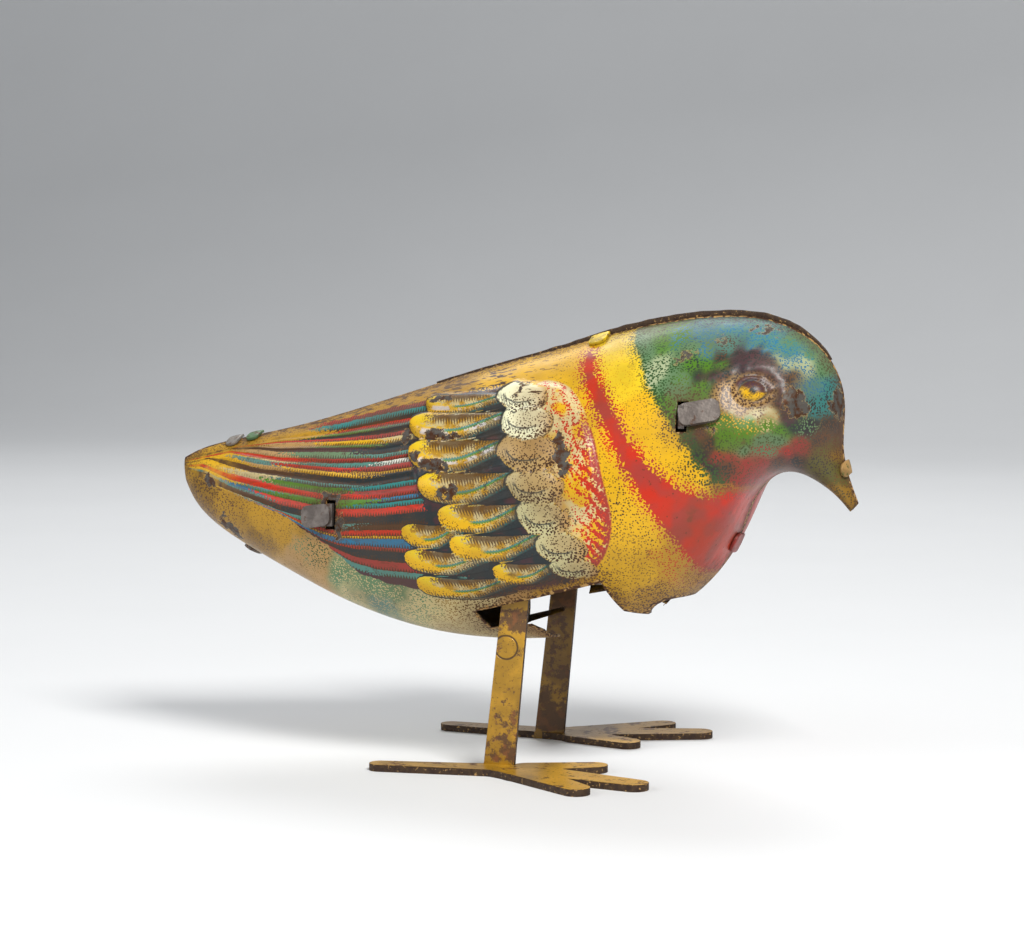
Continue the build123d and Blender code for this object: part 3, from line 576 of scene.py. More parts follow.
def shell_mesh(name, side, materials):
    """One pressed half as a closed mesh, printed outside and plain inside.

    Side -1 is the right half, 1 the left.
    """
    grid = grid_of_skin()
    normal = grid_normals(grid)
    x, z = grid[..., 0], grid[..., 2]
    pattern = side_pattern(x, z)
    rim = np.minimum(np.arange(ROWS + 1), ROWS - np.arange(ROWS + 1))[None, :] + 0 * x
    arc = np.linalg.norm(np.diff(grid, axis=1), axis=2).mean(axis=1)[:, None]
    from_rim = rim * arc
    ends = smooth(-50.5, -47.5, x) * smooth(0.2, 2.2, from_rim) * smooth(36.5, 41.5, z + 2.0 * (x < 30))
    lift = (pattern["relief"] + 0.05 * ripples(x, z, 7 if side < 0 else 19, 5, 16)) * ends
    lift = lift * smooth(0.3, 1.8, np.maximum(np.abs(x - 25.5), np.abs(z - 49.3) / 2.2))
    outer = grid + normal * lift[..., None]
    inner = (grid - normal * TIN)[::INNER_STEP, ::INNER_STEP]
    outer[..., 1] -= SEAM_GAP / 2
    inner[..., 1] = np.minimum(inner[..., 1], 0) - SEAM_GAP / 2
    nearest = np.minimum(outer[::INNER_STEP, ::INNER_STEP, 1] + 0.10, -SEAM_GAP / 2)
    inner[..., 1] = np.maximum(inner[..., 1], nearest)
    inner[..., 1] = np.minimum(inner[..., 1], -SEAM_GAP / 2)
    points = [outer.reshape(-1, 3), inner.reshape(-1, 3)]
    columns, rows = outer.shape[:2]
    inner_columns, inner_rows = inner.shape[:2]
    start = columns * rows

    def o(i, j):
        return i * rows + j

    def n(i, j):
        return start + i * inner_rows + j

    faces = [(o(i, j), o(i, j + 1), o(i + 1, j + 1), o(i + 1, j)) for i in range(columns - 1)
    for j in range(rows - 1)]
    printed = len(faces)
    faces += [(n(i, j), n(i + 1, j), n(i + 1, j + 1), n(i, j + 1))
              for i in range(inner_columns - 1) for j in range(inner_rows - 1)]
    plain = len(faces) - printed
    step = INNER_STEP
    for i in range(inner_columns - 1):
        low = [o(i * step + k, 0) for k in range(step + 1)]
        high = [o(i * step + k, rows - 1) for k in range(step + 1)]
        faces.append((*low, n(i + 1, 0), n(i, 0)))
        faces.append((*high[::-1], n(i, inner_rows - 1), n(i + 1, inner_rows - 1)))
    for j in range(inner_rows - 1):
        tail = [o(0, j * step + k) for k in range(step + 1)]
        beak = [o(columns - 1, j * step + k) for k in range(step + 1)]
        faces.append((*tail[::-1], n(0, j), n(0, j + 1)))
        faces.append((*beak, n(inner_columns - 1, j + 1), n(inner_columns - 1, j)))
    co = np.concatenate(points)
    co[:, 0] += ANKLE_X
    if side > 0:
        co[:, 1] *= -1
        faces = [f[::-1] for f in faces]
    mesh = bpy.data.meshes.new(name)
    mesh.from_pydata((co * MM).tolist(), [], faces)
    for material in materials:
        mesh.materials.append(material)
    rest = len(faces) - printed - plain
    mesh.polygons.foreach_set("material_index", [0] * printed + [1] * plain + [0] * rest)
    mesh.update()
    shell = bpy.data.objects.new(name, mesh)
    bpy.context.scene.collection.objects.link(shell)
    cut_openings(shell, side)
    paint_attributes(shell, side)
    return shell


BELLY_FLAP = {
    "right": [(5.0, 10.0), (5.2, 19.3), (4.0, 20.3), (-1.8, 19.6), (-3.2, 22.1)],
    "left": [(-3.4, 10.0), (-3.2, 17.0), (-0.8, 18.2), (3.2, 19.4), (3.0, 19.9), (-1.8, 18.8), (-3.2, 22.1),
             (6.0, 24.5), (6.2, 21.7), (9.2, 22.3), (12.4, 26.2)]}
BELLY_FRONT = [(14.8, 26.8), (16.8, 22.4), (19.2, 21.5)]


def arc_through(a, b, c, steps):
    """Points from a through b to c on a circle, without a and c."""
    (ax, az), (bx, bz), (cx, cz) = a, b, c
    d = 2 * (ax * (bz - cz) + bx * (cz - az) + cx * (az - bz))
    ux = ((ax * ax + az * az) * (bz - cz) + (bx * bx + bz * bz) * (cz - az) + (cx * cx + cz * cz)
            * (az - bz)) / d
    uz = ((ax * ax + az * az) * (cx - bx) + (bx * bx + bz * bz) * (ax - cx) + (cx * cx + cz * cz)
            * (bx - ax)) / d
    first, last = math.atan2(az - uz, ax - ux), math.atan2(cz - uz, cx - ux)
    mid = math.atan2(bz - uz, bx - ux)
    r = math.hypot(ax - ux, az - uz)
    turn = (last - first) % (2 * math.pi)
    if (mid - first) % (2 * math.pi) > turn:
        turn -= 2 * math.pi
    return [(ux + r * math.cos(first + turn * k / steps), uz + r * math.sin(first + turn * k / steps))
            for k in range(1, steps)]


SLOTS = [(25.5, 49.3), (-24.2, 34.8)]


def belly_corners(side):
    """The opening's outline with its two scallops; the two halves have different flaps."""
    corners = [(29.3, 26.8), (36.0, 26.8),
            (36.0, 10.0)] + BELLY_FLAP["right" if side < 0 else "left"] + BELLY_FRONT
    corners += arc_through((19.2, 21.5), (21.5, 23.5), (25.6, 23.6), 10) + [(25.6, 23.6)]
    return corners + arc_through((25.6, 23.6), (26.8, 25.5), (29.3, 26.8), 8)


def prism(name, outline, y_low, y_high):
    """A straight-sided cutter with its outline in x and z."""
    area = sum(ax * bz - bx * az for (ax, az), (bx, bz) in zip(outline, outline[1:] + outline[:1]))
    if area < 0:
        outline = outline[::-1]
    n = len(outline)
    co = [((px + ANKLE_X) * MM, y_low * MM, pz * MM) for px, pz in outline]
    co += [((px + ANKLE_X) * MM, y_high * MM, pz * MM) for px, pz in outline]
    faces = [tuple(range(n)), tuple(range(2 * n - 1, n - 1, -1))]
    faces += [(i, n + i, n + (i + 1) % n, (i + 1) % n) for i in range(n)]
    mesh = bpy.data.meshes.new(name)
    mesh.from_pydata(co, [], faces)
    mesh.update()
    cutter = bpy.data.objects.new(name, mesh)
    bpy.context.scene.collection.objects.link(cutter)
    return cutter


def cut_openings(shell, side):
    """Belly opening, the two lug slots and, on the left half, the key hole."""
    near, far = (-30.0, 0.5) if side < 0 else (-0.5, 30.0)
    cutters = [prism("cut_belly", belly_corners(side), near, far)]
    for x, z in SLOTS:
        cutters.append(prism("cut_slot",
                [(x - .75, z - 2), (x + .75, z - 2), (x + .75, z + 2), (x - .75, z + 2)],
                             near * 0.99, far * 0.99))
    if side > 0:
        ring = [(-8.0 + 2.6 * math.cos(a), 38.5 + 2.6 * math.sin(a))
                for a in np.linspace(0, 2 * math.pi, 48, False)]
        cutters.append(prism("cut_key", ring, near, far))
    for cutter in cutters:
        modifier = shell.modifiers.new("cut", "BOOLEAN")
        modifier.operation, modifier.object, modifier.solver = "DIFFERENCE", cutter, "MANIFOLD"
    graph = bpy.context.evaluated_depsgraph_get()
    cut = bpy.data.meshes.new_from_object(shell.evaluated_get(graph))
    shell.modifiers.clear()
    old = shell.data
    shell.data = cut
    cut.name = shell.name
    bpy.data.meshes.remove(old)
    for cutter in cutters:
        bpy.data.objects.remove(cutter)


FLOATS = ("stripe", "striped", "feather", "feather_up", "feather_u", "shoulder", "front", "scale", "line",
"patch", "red",
          "share", "chip", "back", "lobe", "lobe_on")


def paint_attributes(shell, side):
    """Stores the paint numbers on the mesh, worked out from where each point lies on the side."""
    mesh = shell.data
    count = len(mesh.vertices)
    co = np.empty(count * 3, np.float32)
    mesh.vertices.foreach_get("co", co)
    co = co.reshape(-1, 3).astype(float) / MM
    x, z = co[:, 0] - ANKLE_X, co[:, 2]
    pattern = side_pattern(x, z)
    for name in FLOATS:
        attribute = mesh.attributes.new(name, "FLOAT", "POINT")
        attribute.data.foreach_set("value", pattern[name].astype(np.float32))
    rim = mesh.attributes.new("rim", "FLOAT", "POINT")
    to_cut = np.minimum(np.abs(polygon_distance(x, z, belly_corners(side))), 9.0)
    for at_x, at_z in SLOTS:
        to_cut = np.minimum(to_cut,
                np.hypot(np.maximum(np.abs(x - at_x) - 0.75, 0), np.maximum(np.abs(z - at_z) - 2.0, 0))
                + 0.35)
    rim.data.foreach_set("value", np.minimum(np.abs(co[:, 1]), to_cut + 0.15).astype(np.float32))
    for name in ("main", "dots"):
        attribute = mesh.attributes.new(name, "FLOAT_COLOR", "POINT")
        rgba = np.concatenate([pattern[name], np.ones((count, 1))], axis=1)
        attribute.data.foreach_set("color", rgba.astype(np.float32).ravel())
    mesh.polygons.foreach_set("use_smooth", np.ones(len(mesh.polygons), bool))
    mesh.update()


# ---------------------------------------------------------------- seam: standing lip and folded tabs
def closed_strip(name, rings, materials):
    """A closed piece skinned over rings of points, in millimetres, with both ends capped."""
    rings = np.array(rings)
    count, sides = rings.shape[:2]
    co = rings.reshape(-1, 3).copy()
    co[:, 0] += ANKLE_X
    faces = [(i * sides + j, i * sides + (j + 1) % sides, (i + 1) * sides + (j + 1) % sides,
            (i + 1) * sides + j)
             for i in range(count - 1) for j in range(sides)]
    faces += [tuple(range(sides))[::-1], tuple((count - 1) * sides + j for j in range(sides))]
    mesh = bpy.data.meshes.new(name)
    mesh.from_pydata((co * MM).tolist(), [], faces)
    work = bmesh.new()
    work.from_mesh(mesh)
    bmesh.ops.recalc_face_normals(work, faces=work.faces)
    work.to_mesh(mesh)
    work.free()
    mesh.polygons.foreach_set("use_smooth", [True] * len(mesh.polygons))
    piece = bpy.data.objects.new(name, mesh)
    bpy.context.scene.collection.objects.link(piece)
    for material in materials:
        mesh.materials.append(material)
    bevel = piece.modifiers.new("rolled_edge", "BEVEL")
    bevel.width, bevel.segments, bevel.limit_method = 0.08 * MM, 2, "ANGLE"
    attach(piece, "bird")
    return piece


LIP_START, LIP_END, LIP_HEIGHT, LIP_DEPTH = 0.30, 0.71, 0.75, 0.18
LIP_BACK, LIP_GROWS_FROM, LIP_GROWS_OVER = 0.35, 0.2, 0.2


def standing_lip(material):
    """The left half's raw edge, standing above the right half along the back and the crown."""
    steps = 150
    t = np.linspace(LIP_START, LIP_END, steps + 1)
    edge = skin_points(t, np.ones_like(t))
    along = np.gradient(edge, axis=0)
    up = np.stack([-along[:, 2], 0 * t, along[:, 0]], axis=1)
    up /= np.linalg.norm(up, axis=1, keepdims=True)
    share = (t - LIP_START) / (LIP_END - LIP_START)
    grown = LIP_BACK + (1 - LIP_BACK) * np.maximum(share - LIP_GROWS_FROM, 0) / LIP_GROWS_OVER
    rise = LIP_HEIGHT * np.minimum(1, np.minimum(grown, 0.25 + 3 * (1 - share)))
    rise = rise * (1 + 0.08 * ripples(edge[:, 0], edge[:, 2], 5, 1.2, 5))
    rings = []
    for point, out, high in zip(edge, up, rise):
        ring = [(-LIP_DEPTH, 0.02), (high * 0.55, 0.02), (high, 0.06), (high, 0.36), (high * 0.55, 0.42),
                (-LIP_DEPTH, 0.42)]
        rings.append([(point[0] + out[0] * a, y, point[2] + out[2] * a) for a, y in ring])
    return closed_strip("left_tin_lip", rings, [material])


# Tabs folded from the left half onto the right one: station, ridge 1 or keel -1, width, length.
TABS = [(7.5, 1, 2.6, 3.3), (1.85, 1, 2.0, 2.4), (2.25, 1, 2.0, 2.2), (2.4, -1, 2.6, 2.2),
        (10.1, -1, 2.8, 3.8),
        (15.6, 1, 1.9, 2.3)]


def folded_tab(number, station, side, width, length, material):
    """A round-ended tab lying on the right half, bent with it."""
    last = len(STATIONS) - 1
    height = side * np.sin(math.pi / 2 * np.linspace(1, 0.15, 120))
    middle = skin_points(np.full(120, station / last), height)
    reach = np.concatenate([[0], np.cumsum(np.linalg.norm(np.diff(middle, axis=0), axis=1))])
    step = 0.004
    tangent = skin_points(np.full(120, station / last + step),
            height) - skin_points(np.full(120, station / last - step), height)
    down = np.gradient(middle, axis=0)
    outward = np.cross(tangent, down)
    outward /= np.linalg.norm(outward, axis=1, keepdims=True)
    if outward[60, 1] > 0:
        outward = -outward
    tangent -= outward * (tangent * outward).sum(axis=1, keepdims=True)
    tangent /= np.linalg.norm(tangent, axis=1, keepdims=True)

    def at(s):
        pick = lambda rows: np.array([np.interp(s, reach, rows[:, k]) for k in range(3)])
        return pick(middle), pick(tangent), pick(outward)

    rings = []
    round_start = length - width / 2
    for s in np.concatenate([np.linspace(-0.55, round_start, 9),
            round_start + width / 2 * np.sin(np.linspace(0.2, 1.5, 7))]):
        point, along, out = at(max(s, 0))
        if s < 0:
            point = point + np.array([0, -s, 0])
            out = np.array([out[0], 0, out[2]]) / math.hypot(out[0], out[2])
        half = width / 2 * math.sqrt(max(1 - max((s - round_start) / (width / 2), 0) ** 2, 0.01))
        low, high = 0.10, 0.10 + TIN * 1.15
        ring = [(-half, low), (-half, high - 0.05), (-half * 0.82, high), (0, high + 0.05),
                (half * 0.82, high),
                (half, high - 0.05), (half, low), (0, low)]
        rings.append([point + along * a + out * b for a, b in ring])
    return closed_strip(f"left_tin_tab_{number}", rings, [material])


# ---------------------------------------------------------------- node helpers
class Nodes:
    """Short ways to build one material's node tree."""

    def __init__(self, name):
        self.material = bpy.data.materials.new(name)
        self.material.use_nodes = True
        self.tree = self.material.node_tree
        self.shader = self.tree.nodes["Principled BSDF"]
        texture = self.tree.nodes.new("ShaderNodeTexCoord")
        self.place = texture.outputs["Object"]

    def link(self, value, socket):
        if isinstance(value, bpy.types.NodeSocket):
            self.tree.links.new(value, socket)
        elif socket.type == "RGBA" and len(value) == 3:
            socket.default_value = (*value, 1.0)
        else:
            socket.default_value = value

    def math(self, operation, a, b=0.0, clamp=False):
        node = self.tree.nodes.new("ShaderNodeMath")
        node.operation, node.use_clamp = operation, clamp
        self.link(a, node.inputs[0])
        self.link(b, node.inputs[1])
        return node.outputs[0]

    def add(self, a, b):
        return self.math("ADD", a, b)

    def times(self, a, b):
        return self.math("MULTIPLY", a, b)

    def step(self, value, low, high):
        """0 to 1 as value goes from low to high."""
        node = self.tree.nodes.new("ShaderNodeMapRange")
        node.interpolation_type = "SMOOTHSTEP"
        self.link(value, node.inputs["Value"])
        self.link(low, node.inputs["From Min"])
        self.link(high, node.inputs["From Max"])
        return node.outputs["Result"]

    def mix(self, share, a, b, blend_type="MIX"):
        node = self.tree.nodes.new("ShaderNodeMix")
        node.data_type, node.blend_type = "RGBA", blend_type
        self.link(share, node.inputs[0])
        self.link(a, node.inputs[6])
        self.link(b, node.inputs[7])
        return node.outputs[2]

    def number(self, name):
        node = self.tree.nodes.new("ShaderNodeAttribute")
        node.attribute_name = name
        return node.outputs["Fac"]

    def colour(self, name):
        node = self.tree.nodes.new("ShaderNodeAttribute")
        node.attribute_name = name
        return node.outputs["Color"]

    def noise(self, size_mm, detail=2.0, roughness=0.5, stretch=None, shift=0.0):
        """Noise of a grain size in millimetres, mostly between 0.3 and 0.7."""
        node = self.tree.nodes.new("ShaderNodeTexNoise")
        self.link(self.mapped(stretch, shift), node.inputs["Vector"])
        node.inputs["Scale"].default_value = 1 / (size_mm * MM)
        node.inputs["Detail"].default_value = detail
        node.inputs["Roughness"].default_value = roughness
        return node.outputs["Fac"]

    def mapped(self, stretch, shift=0.0):
        if stretch is None and not shift:
            return self.place
        node = self.tree.nodes.new("ShaderNodeMapping")
        self.link(self.place, node.inputs["Vector"])
        node.inputs["Scale"].default_value = stretch or (1, 1, 1)
        node.inputs["Location"].default_value = (shift, shift, shift)
        return node.outputs["Vector"]

    def cells(self, size_mm, feature="F1", stretch=None, shift=0.0):
        node = self.tree.nodes.new("ShaderNodeTexVoronoi")
        node.feature = feature
        self.link(self.mapped(stretch, shift), node.inputs["Vector"])
        node.inputs["Scale"].default_value = 1 / (size_mm * MM)
        return node.outputs["Distance"]

    def ramp(self, value, stops, interpolation="LINEAR"):
        node = self.tree.nodes.new("ShaderNodeValToRGB")
        node.color_ramp.interpolation = interpolation
        elements = node.color_ramp.elements
        while len(elements) < len(stops):
            elements.new(0.5)
        for element, (place, colour) in zip(elements, sorted(stops, key=lambda stop: stop[0])):
            element.position = place
        for element, (place, colour) in zip(elements, sorted(stops, key=lambda stop: stop[0])):
            element.color = (*(PAINT[colour] if isinstance(colour, str) else colour), 1.0)
        self.link(value, node.inputs["Fac"])
        return node.outputs["Color"]

    def bump(self, height, depth_mm, strength=1.0, after=None):
        node = self.tree.nodes.new("ShaderNodeBump")
        node.inputs["Strength"].default_value = strength
        node.inputs["Distance"].default_value = depth_mm * MM
        self.link(height, node.inputs["Height"])
        if after is not None:
            self.link(after, node.inputs["Normal"])
        return node.outputs["Normal"]

    def finish(self, colour, roughness, normal=None, **constants):
        self.link(colour, self.shader.inputs["Base Color"])
        self.link(roughness, self.shader.inputs["Roughness"])
        if normal is not None:
            self.link(normal, self.shader.inputs["Normal"])
        for name, value in constants.items():
            self.link(value, self.shader.inputs[name.replace("_", " ").title().replace("Ior", "IOR")])
        return self.material


def stripe_stops(text):
    """Ramp stops from stripe places and colour names."""
    words = text.split()
    return [((float(place) - STRIPE_START) / STRIPE_SPAN, colour) for place,
            colour in zip(words[::2], words[1::2])]


MIDDLE_STRIPES = ("60 gold 78 red 98 teal 122 brown 140 red 162 green 182 char 204 red 228 yellow 262 "
                  "green 280 plum 308 sage 345 brick 370 sea 405 red 440 yellow 466 char 503 sea 528 "
                  "green 562 red 596 green 650 red 700 char 735 sea 782 red 818 yellow 835 blue 890 red "
                  "910 char 965 brick 1022 sea 1080 plum")
TAIL_STRIPES = ("60 gold 200 ochre 275 brown 305 gold 352 red 388 yellow 470 brown 506 yellow 560 red 606 "
                "yellow 655 teal 690 brown 735 gold")
CREAM_STRIPES = ("60 gold 200 red 222 tan 275 brown 306 tan 350 red 382 cream 405 sea 450 tan 474 brown "
                 "506 cream 552 red 602 sea 640 blue 676 sea 695 brown 732 cream 780 sea 830 gold")
ROOT_STRIPES = ("60 gold 80 brick 96 teal 118 char 138 red 160 sea 176 char 205 brick 228 cream 262 char "
                "325 sea 352 brick 372 white 398 brick 432 gold 452 char 512 teal 545 brick 590 blue 612 "
                "char 622 teal 652 red 694 char 748 brown 780 red 815 yellow 830 blue 885 brick 905 char "
                "965 brick 1020 sea 1060 plum")


def tail_stripes(n, place, loose):
    """The tail's stripes from its end to the wing, each zone ending in loose dots."""
    tail, cream, middle, root = (n.ramp(place, stripe_stops(text), "CONSTANT")
                                 for text in (TAIL_STRIPES, CREAM_STRIPES, MIDDLE_STRIPES, ROOT_STRIPES))
    stripes = n.mix(n.step(loose, -40.0, -39.6), tail, cream)
    stripes = n.mix(n.step(n.add(loose, n.times(place, 14)), -27.2, -26.8), stripes, middle)
    return n.mix(n.step(loose, -19.0, -18.6), stripes, root)


def printed_tin():
    """Stipple-printed, lacquered and worn tin plate."""
    n = Nodes("printed_tin")
    grain = n.cells(0.31)
    stipple = n.step(grain, 0.10, 0.80)
    fine = n.noise(0.55, detail=1.5)
    ragged = n.noise(1.1, detail=3.0)
    slow = n.noise(9.0, detail=3.0)
    # ground colours with dots of a second ink
    dot_share = n.number("share")
    strokes = n.step(n.noise(0.55, detail=3.0, stretch=(0.2, 1.0, 1.3), shift=12.0), 0.30, 0.70)
    marks = n.add(n.times(stipple, n.math("SUBTRACT", 1.0, n.number("back"))),
            n.times(strokes, n.number("back")))
    dots = n.step(n.math("SUBTRACT", dot_share, marks), -0.06, 0.06)
    paint = n.mix(dots, n.colour("main"), n.colour("dots"))
    # stripes of the tail, each join drawn as dark teeth
    sawtooth = n.math("FRACT", stripe_along(n))
    wavering = n.add(n.number("stripe"), n.times(n.math("SUBTRACT", fine, 0.5), 0.010))
    along = along_mm(n)
    scatter = n.times(n.math("SUBTRACT", stipple, 0.5), 4.5)
    uneven = n.times(n.math("SINE", n.times(n.number("stripe"), 61.0)), 2.6)
    loose = n.add(n.add(along, scatter), uneven)
    stripes = tail_stripes(n, wavering, loose)
    joins = n.tree.nodes.new("ShaderNodeVectorMath")
    joins.operation = "DISTANCE"
    n.link(stripes, joins.inputs[0])
    n.link(tail_stripes(n, n.add(wavering, n.times(sawtooth, 0.021)), loose), joins.inputs[1])
    fading = n.add(0.35, n.times(n.step(along, -40.0, -24.0), 0.50))
    stripes = n.mix(n.times(n.step(joins.outputs["Value"], 0.02, 0.05), fading), stripes,
            tint("brown", 0.7))
    streaks = n.step(n.noise(0.45, detail=2.0, stretch=(0.16, 1.0, 1.0), shift=15.0), 0.56, 0.66)
    stripes = n.mix(n.times(streaks, 0.35), stripes, tint("brown"))
    speck = n.step(n.cells(0.5, shift=3.0), 0.30, 0.16)
    stripes = n.mix(n.times(speck, 0.45), stripes, tint("brown"))
    golden = n.times(n.step(along, -39.0, -46.0), n.step(n.noise(2.0, detail=3.0, shift=21.0), 0.35, 0.60))
    stripes = n.mix(n.times(golden, 0.55), stripes, tint("yellow"))
    striped = n.step(n.add(n.number("striped"), n.times(n.math("SUBTRACT", ragged, 0.5), 0.8)), -0.05, 0.10)
    paint = n.mix(striped, paint, stripes)
    # dark ground of the wing
    patch = n.add(n.number("patch"), n.times(n.math("SUBTRACT", stipple, 0.5), 0.9))
    dark = n.mix(n.step(n.noise(2.2, detail=2.0), 0.42, 0.62), tint("char"), tint("plum", 0.7))
    behind_front = n.step(n.number("front"), 0.6, 1.2)
    paint = n.mix(n.times(n.step(patch, 0.0, 0.25), behind_front), paint, dark)
    # long feathers
    u, up = n.number("feather_u"), n.number("feather_up")
    teeth = n.math("ABSOLUTE", n.math("SUBTRACT", sawtooth, 0.5))
    speckle = n.math("SUBTRACT", stipple, 0.5)
    feather_paint = n.mix(n.step(n.noise(1.6, detail=2.0, shift=14.0), 0.40, 0.60), tint("cream"),
            tint("gold", 0.9))
    top_hatch = n.step(n.add(n.add(up, n.times(teeth, 0.50)), n.times(u, 0.22)), 0.86, 0.94)
    feather_paint = n.mix(n.times(top_hatch, 0.85), feather_paint, tint("brown"))
    dotted = n.step(n.math("SUBTRACT", n.times(n.step(u, 0.15, 0.95), 0.44), stipple), -0.05, 0.08)
    feather_paint = n.mix(n.times(dotted, 0.85), feather_paint, tint("dirt", 0.8))
    leaf = n.step(n.add(n.add(u, n.times(speckle, 0.30)),
            n.times(n.math("ABSOLUTE", n.add(up, -0.26)), 1.5)), 0.68, 0.64)
    tip = n.step(n.add(u, n.times(speckle, 0.14)), 0.22, 0.18)
    yellow = n.mix(n.step(up, 0.25, 0.75), tint("yellow"), tint("lemon"))
    freckled = n.step(n.math("SUBTRACT", n.times(n.step(up, 0.45, 0.05), 0.40), stipple), -0.05, 0.08)
    yellow = n.mix(n.times(freckled, 0.8), yellow, tint("brown"))
    feather_paint = n.mix(n.math("MAXIMUM", leaf, tip), feather_paint, yellow)
    # A pale grey-lilac streak along the middle of the upper feathers: a painted highlight.
    painted_highlight = n.times(n.step(n.math("ABSOLUTE", n.add(up, -0.30)), 0.17, 0.06),
            n.step(upward_mm(n), 40.5, 42.0))
    painted_highlight = n.times(painted_highlight,
            n.times(n.step(u, 0.06, 0.16), n.step(n.noise(1.7, detail=3.0, shift=16.0), 0.47, 0.55)))
    feather_paint = n.mix(n.times(painted_highlight, 0.8), feather_paint, (0.62, 0.60, 0.62))
    thread = n.math("ABSOLUTE", n.add(n.add(up, n.times(teeth, 0.10)), -0.40))
    thread = n.times(n.step(thread, 0.075, 0.045), n.step(u, 0.34, 0.42))
    feather_paint = n.mix(n.times(thread, 0.9), feather_paint,
            n.mix(n.step(up, 0.34, 0.40), tint("green"), tint("teal")))
    hem = n.step(n.add(up, n.times(teeth, -0.36)), 0.02, -0.04)
    hem = n.times(hem, n.step(u, 0.08, 0.2))
    feather_paint = n.mix(n.times(hem, 0.8), feather_paint, tint("char", 1.1))
    below = n.times(n.step(n.add(up, n.times(speckle, 0.14)), 0.02, -0.05), n.step(u, 0.30, 0.42))
    shade = n.mix(n.step(up, -0.10, -0.02), tint("char"), n.mix(0.6, tint("teal"), tint("char")))
    feather_paint = n.mix(below, feather_paint, shade)
    # Feathers darken towards their roots, where they run under the scales: painted shade.
    root_painted_shade = n.step(n.add(u, n.times(speckle, 0.5)), 0.80, 0.95)
    feather_paint = n.mix(n.times(root_painted_shade, 0.7), feather_paint, tint("char", 1.3))
    inside = n.add(n.number("feather"), n.times(n.math("SUBTRACT", fine, 0.5), 0.18))
    paint = n.mix(n.step(inside, 0.02, 0.10), paint, feather_paint)
    outline = n.times(n.step(inside, -0.16, -0.08), n.step(inside, 0.07, 0.01))
    paint = n.mix(outline, paint, tint("char", 0.8))
    # shoulder streaks
    level = upward_mm(n)
    sweep = n.add(n.times(n.number("front"), 0.30), n.add(n.times(along, 0.80), n.times(level, 0.62)))
    wave = n.math("FRACT", n.add(sweep, n.times(n.noise(3.0, detail=3.0), 2.4)))
    lowered = n.step(level, 52.0, 41.0)
    streak = n.step(n.math("ABSOLUTE", n.math("SUBTRACT", wave, 0.5)), 0.30, 0.20)
    streak_end = n.step(n.number("front"), 5.6, 1.2)
    red_share = n.add(n.times(streak, 0.50),
            n.times(n.times(streak_end, 0.55), n.add(0.25, n.times(lowered, 0.75))))
    red_share = n.times(red_share, n.step(n.number("front"), 6.4, 3.4))
    red_here = n.step(n.math("SUBTRACT", red_share, stipple), -0.04, 0.10)
    pale_share = n.add(n.noise(2.6, detail=2.0, shift=5.0), n.times(lowered, -0.16))
    ground = n.mix(n.step(pale_share, 0.30, 0.46), tint("yellow"), tint("cream", 1.15))
    ground = n.mix(n.step(n.number("front"), 4.2, 6.8), ground, tint("tan"))
    freckles = n.step(n.math("SUBTRACT", n.times(n.step(n.number("front"), 2.5, 7.0), 0.42), stipple),
            -0.05, 0.06)
    ground = n.mix(n.times(freckles, 0.8), ground, tint("brown"))
    shoulder_paint = n.mix(red_here, ground, tint("red"))
    rim_red = n.step(n.add(n.number("front"), n.times(n.math("SUBTRACT", stipple, 0.5), 2.0)), 1.45, 0.75)
    rim_red = n.times(rim_red, n.step(n.add(level, n.times(stipple, 1.5)), 50.5, 48.0))
    shoulder_paint = n.mix(rim_red, shoulder_paint, tint("brick", 1.1))
    on_shoulder = n.times(n.step(n.number("shoulder"), -0.35, -0.05),
            n.step(n.number("scale"), 0.02, -0.05))
    paint = n.mix(on_shoulder, paint, shoulder_paint)
    # short scales lie over them
    scale_paint = n.mix(dots, n.colour("main"), n.colour("dots"))
    paint = n.mix(n.step(n.number("scale"), -0.02, 0.06), paint, scale_paint)
    line = n.add(n.number("line"), n.times(n.math("SUBTRACT", fine, 0.5), 0.25))
    paint = n.mix(n.times(n.step(line, 0.16, 0.08), 0.85), paint, tint("char"))
    lobe = n.add(n.number("lobe"), n.times(n.math("SUBTRACT", fine, 0.5), 0.3))
    lobe_line = n.times(n.step(n.math("ABSOLUTE", lobe), 0.16, 0.07), n.number("lobe_on"))
    paint = n.mix(n.times(lobe_line, 0.8), paint, tint("char"))
    comb = n.step(n.add(n.math("ABSOLUTE", n.math("SUBTRACT", sawtooth, 0.5)),
            n.times(n.math("ABSOLUTE", n.add(lobe, -0.30)), 0.5)), 0.26, 0.18)
    comb = n.times(comb, n.times(n.step(lobe, -0.05, 0.05), n.number("lobe_on")))
    paint = n.mix(n.times(comb, 0.65), paint, tint("char"))
    # red band and chest
    red_edge = n.add(n.number("red"), n.times(n.math("SUBTRACT", stipple, 0.66), -2.1))
    red_paint = n.mix(n.step(n.noise(4.0, detail=2.0, shift=9.0), 0.40, 0.62), tint("red"),
            tint("brick", 1.15))
    paint = n.mix(n.step(red_edge, 0.0, 0.12), paint, red_paint)
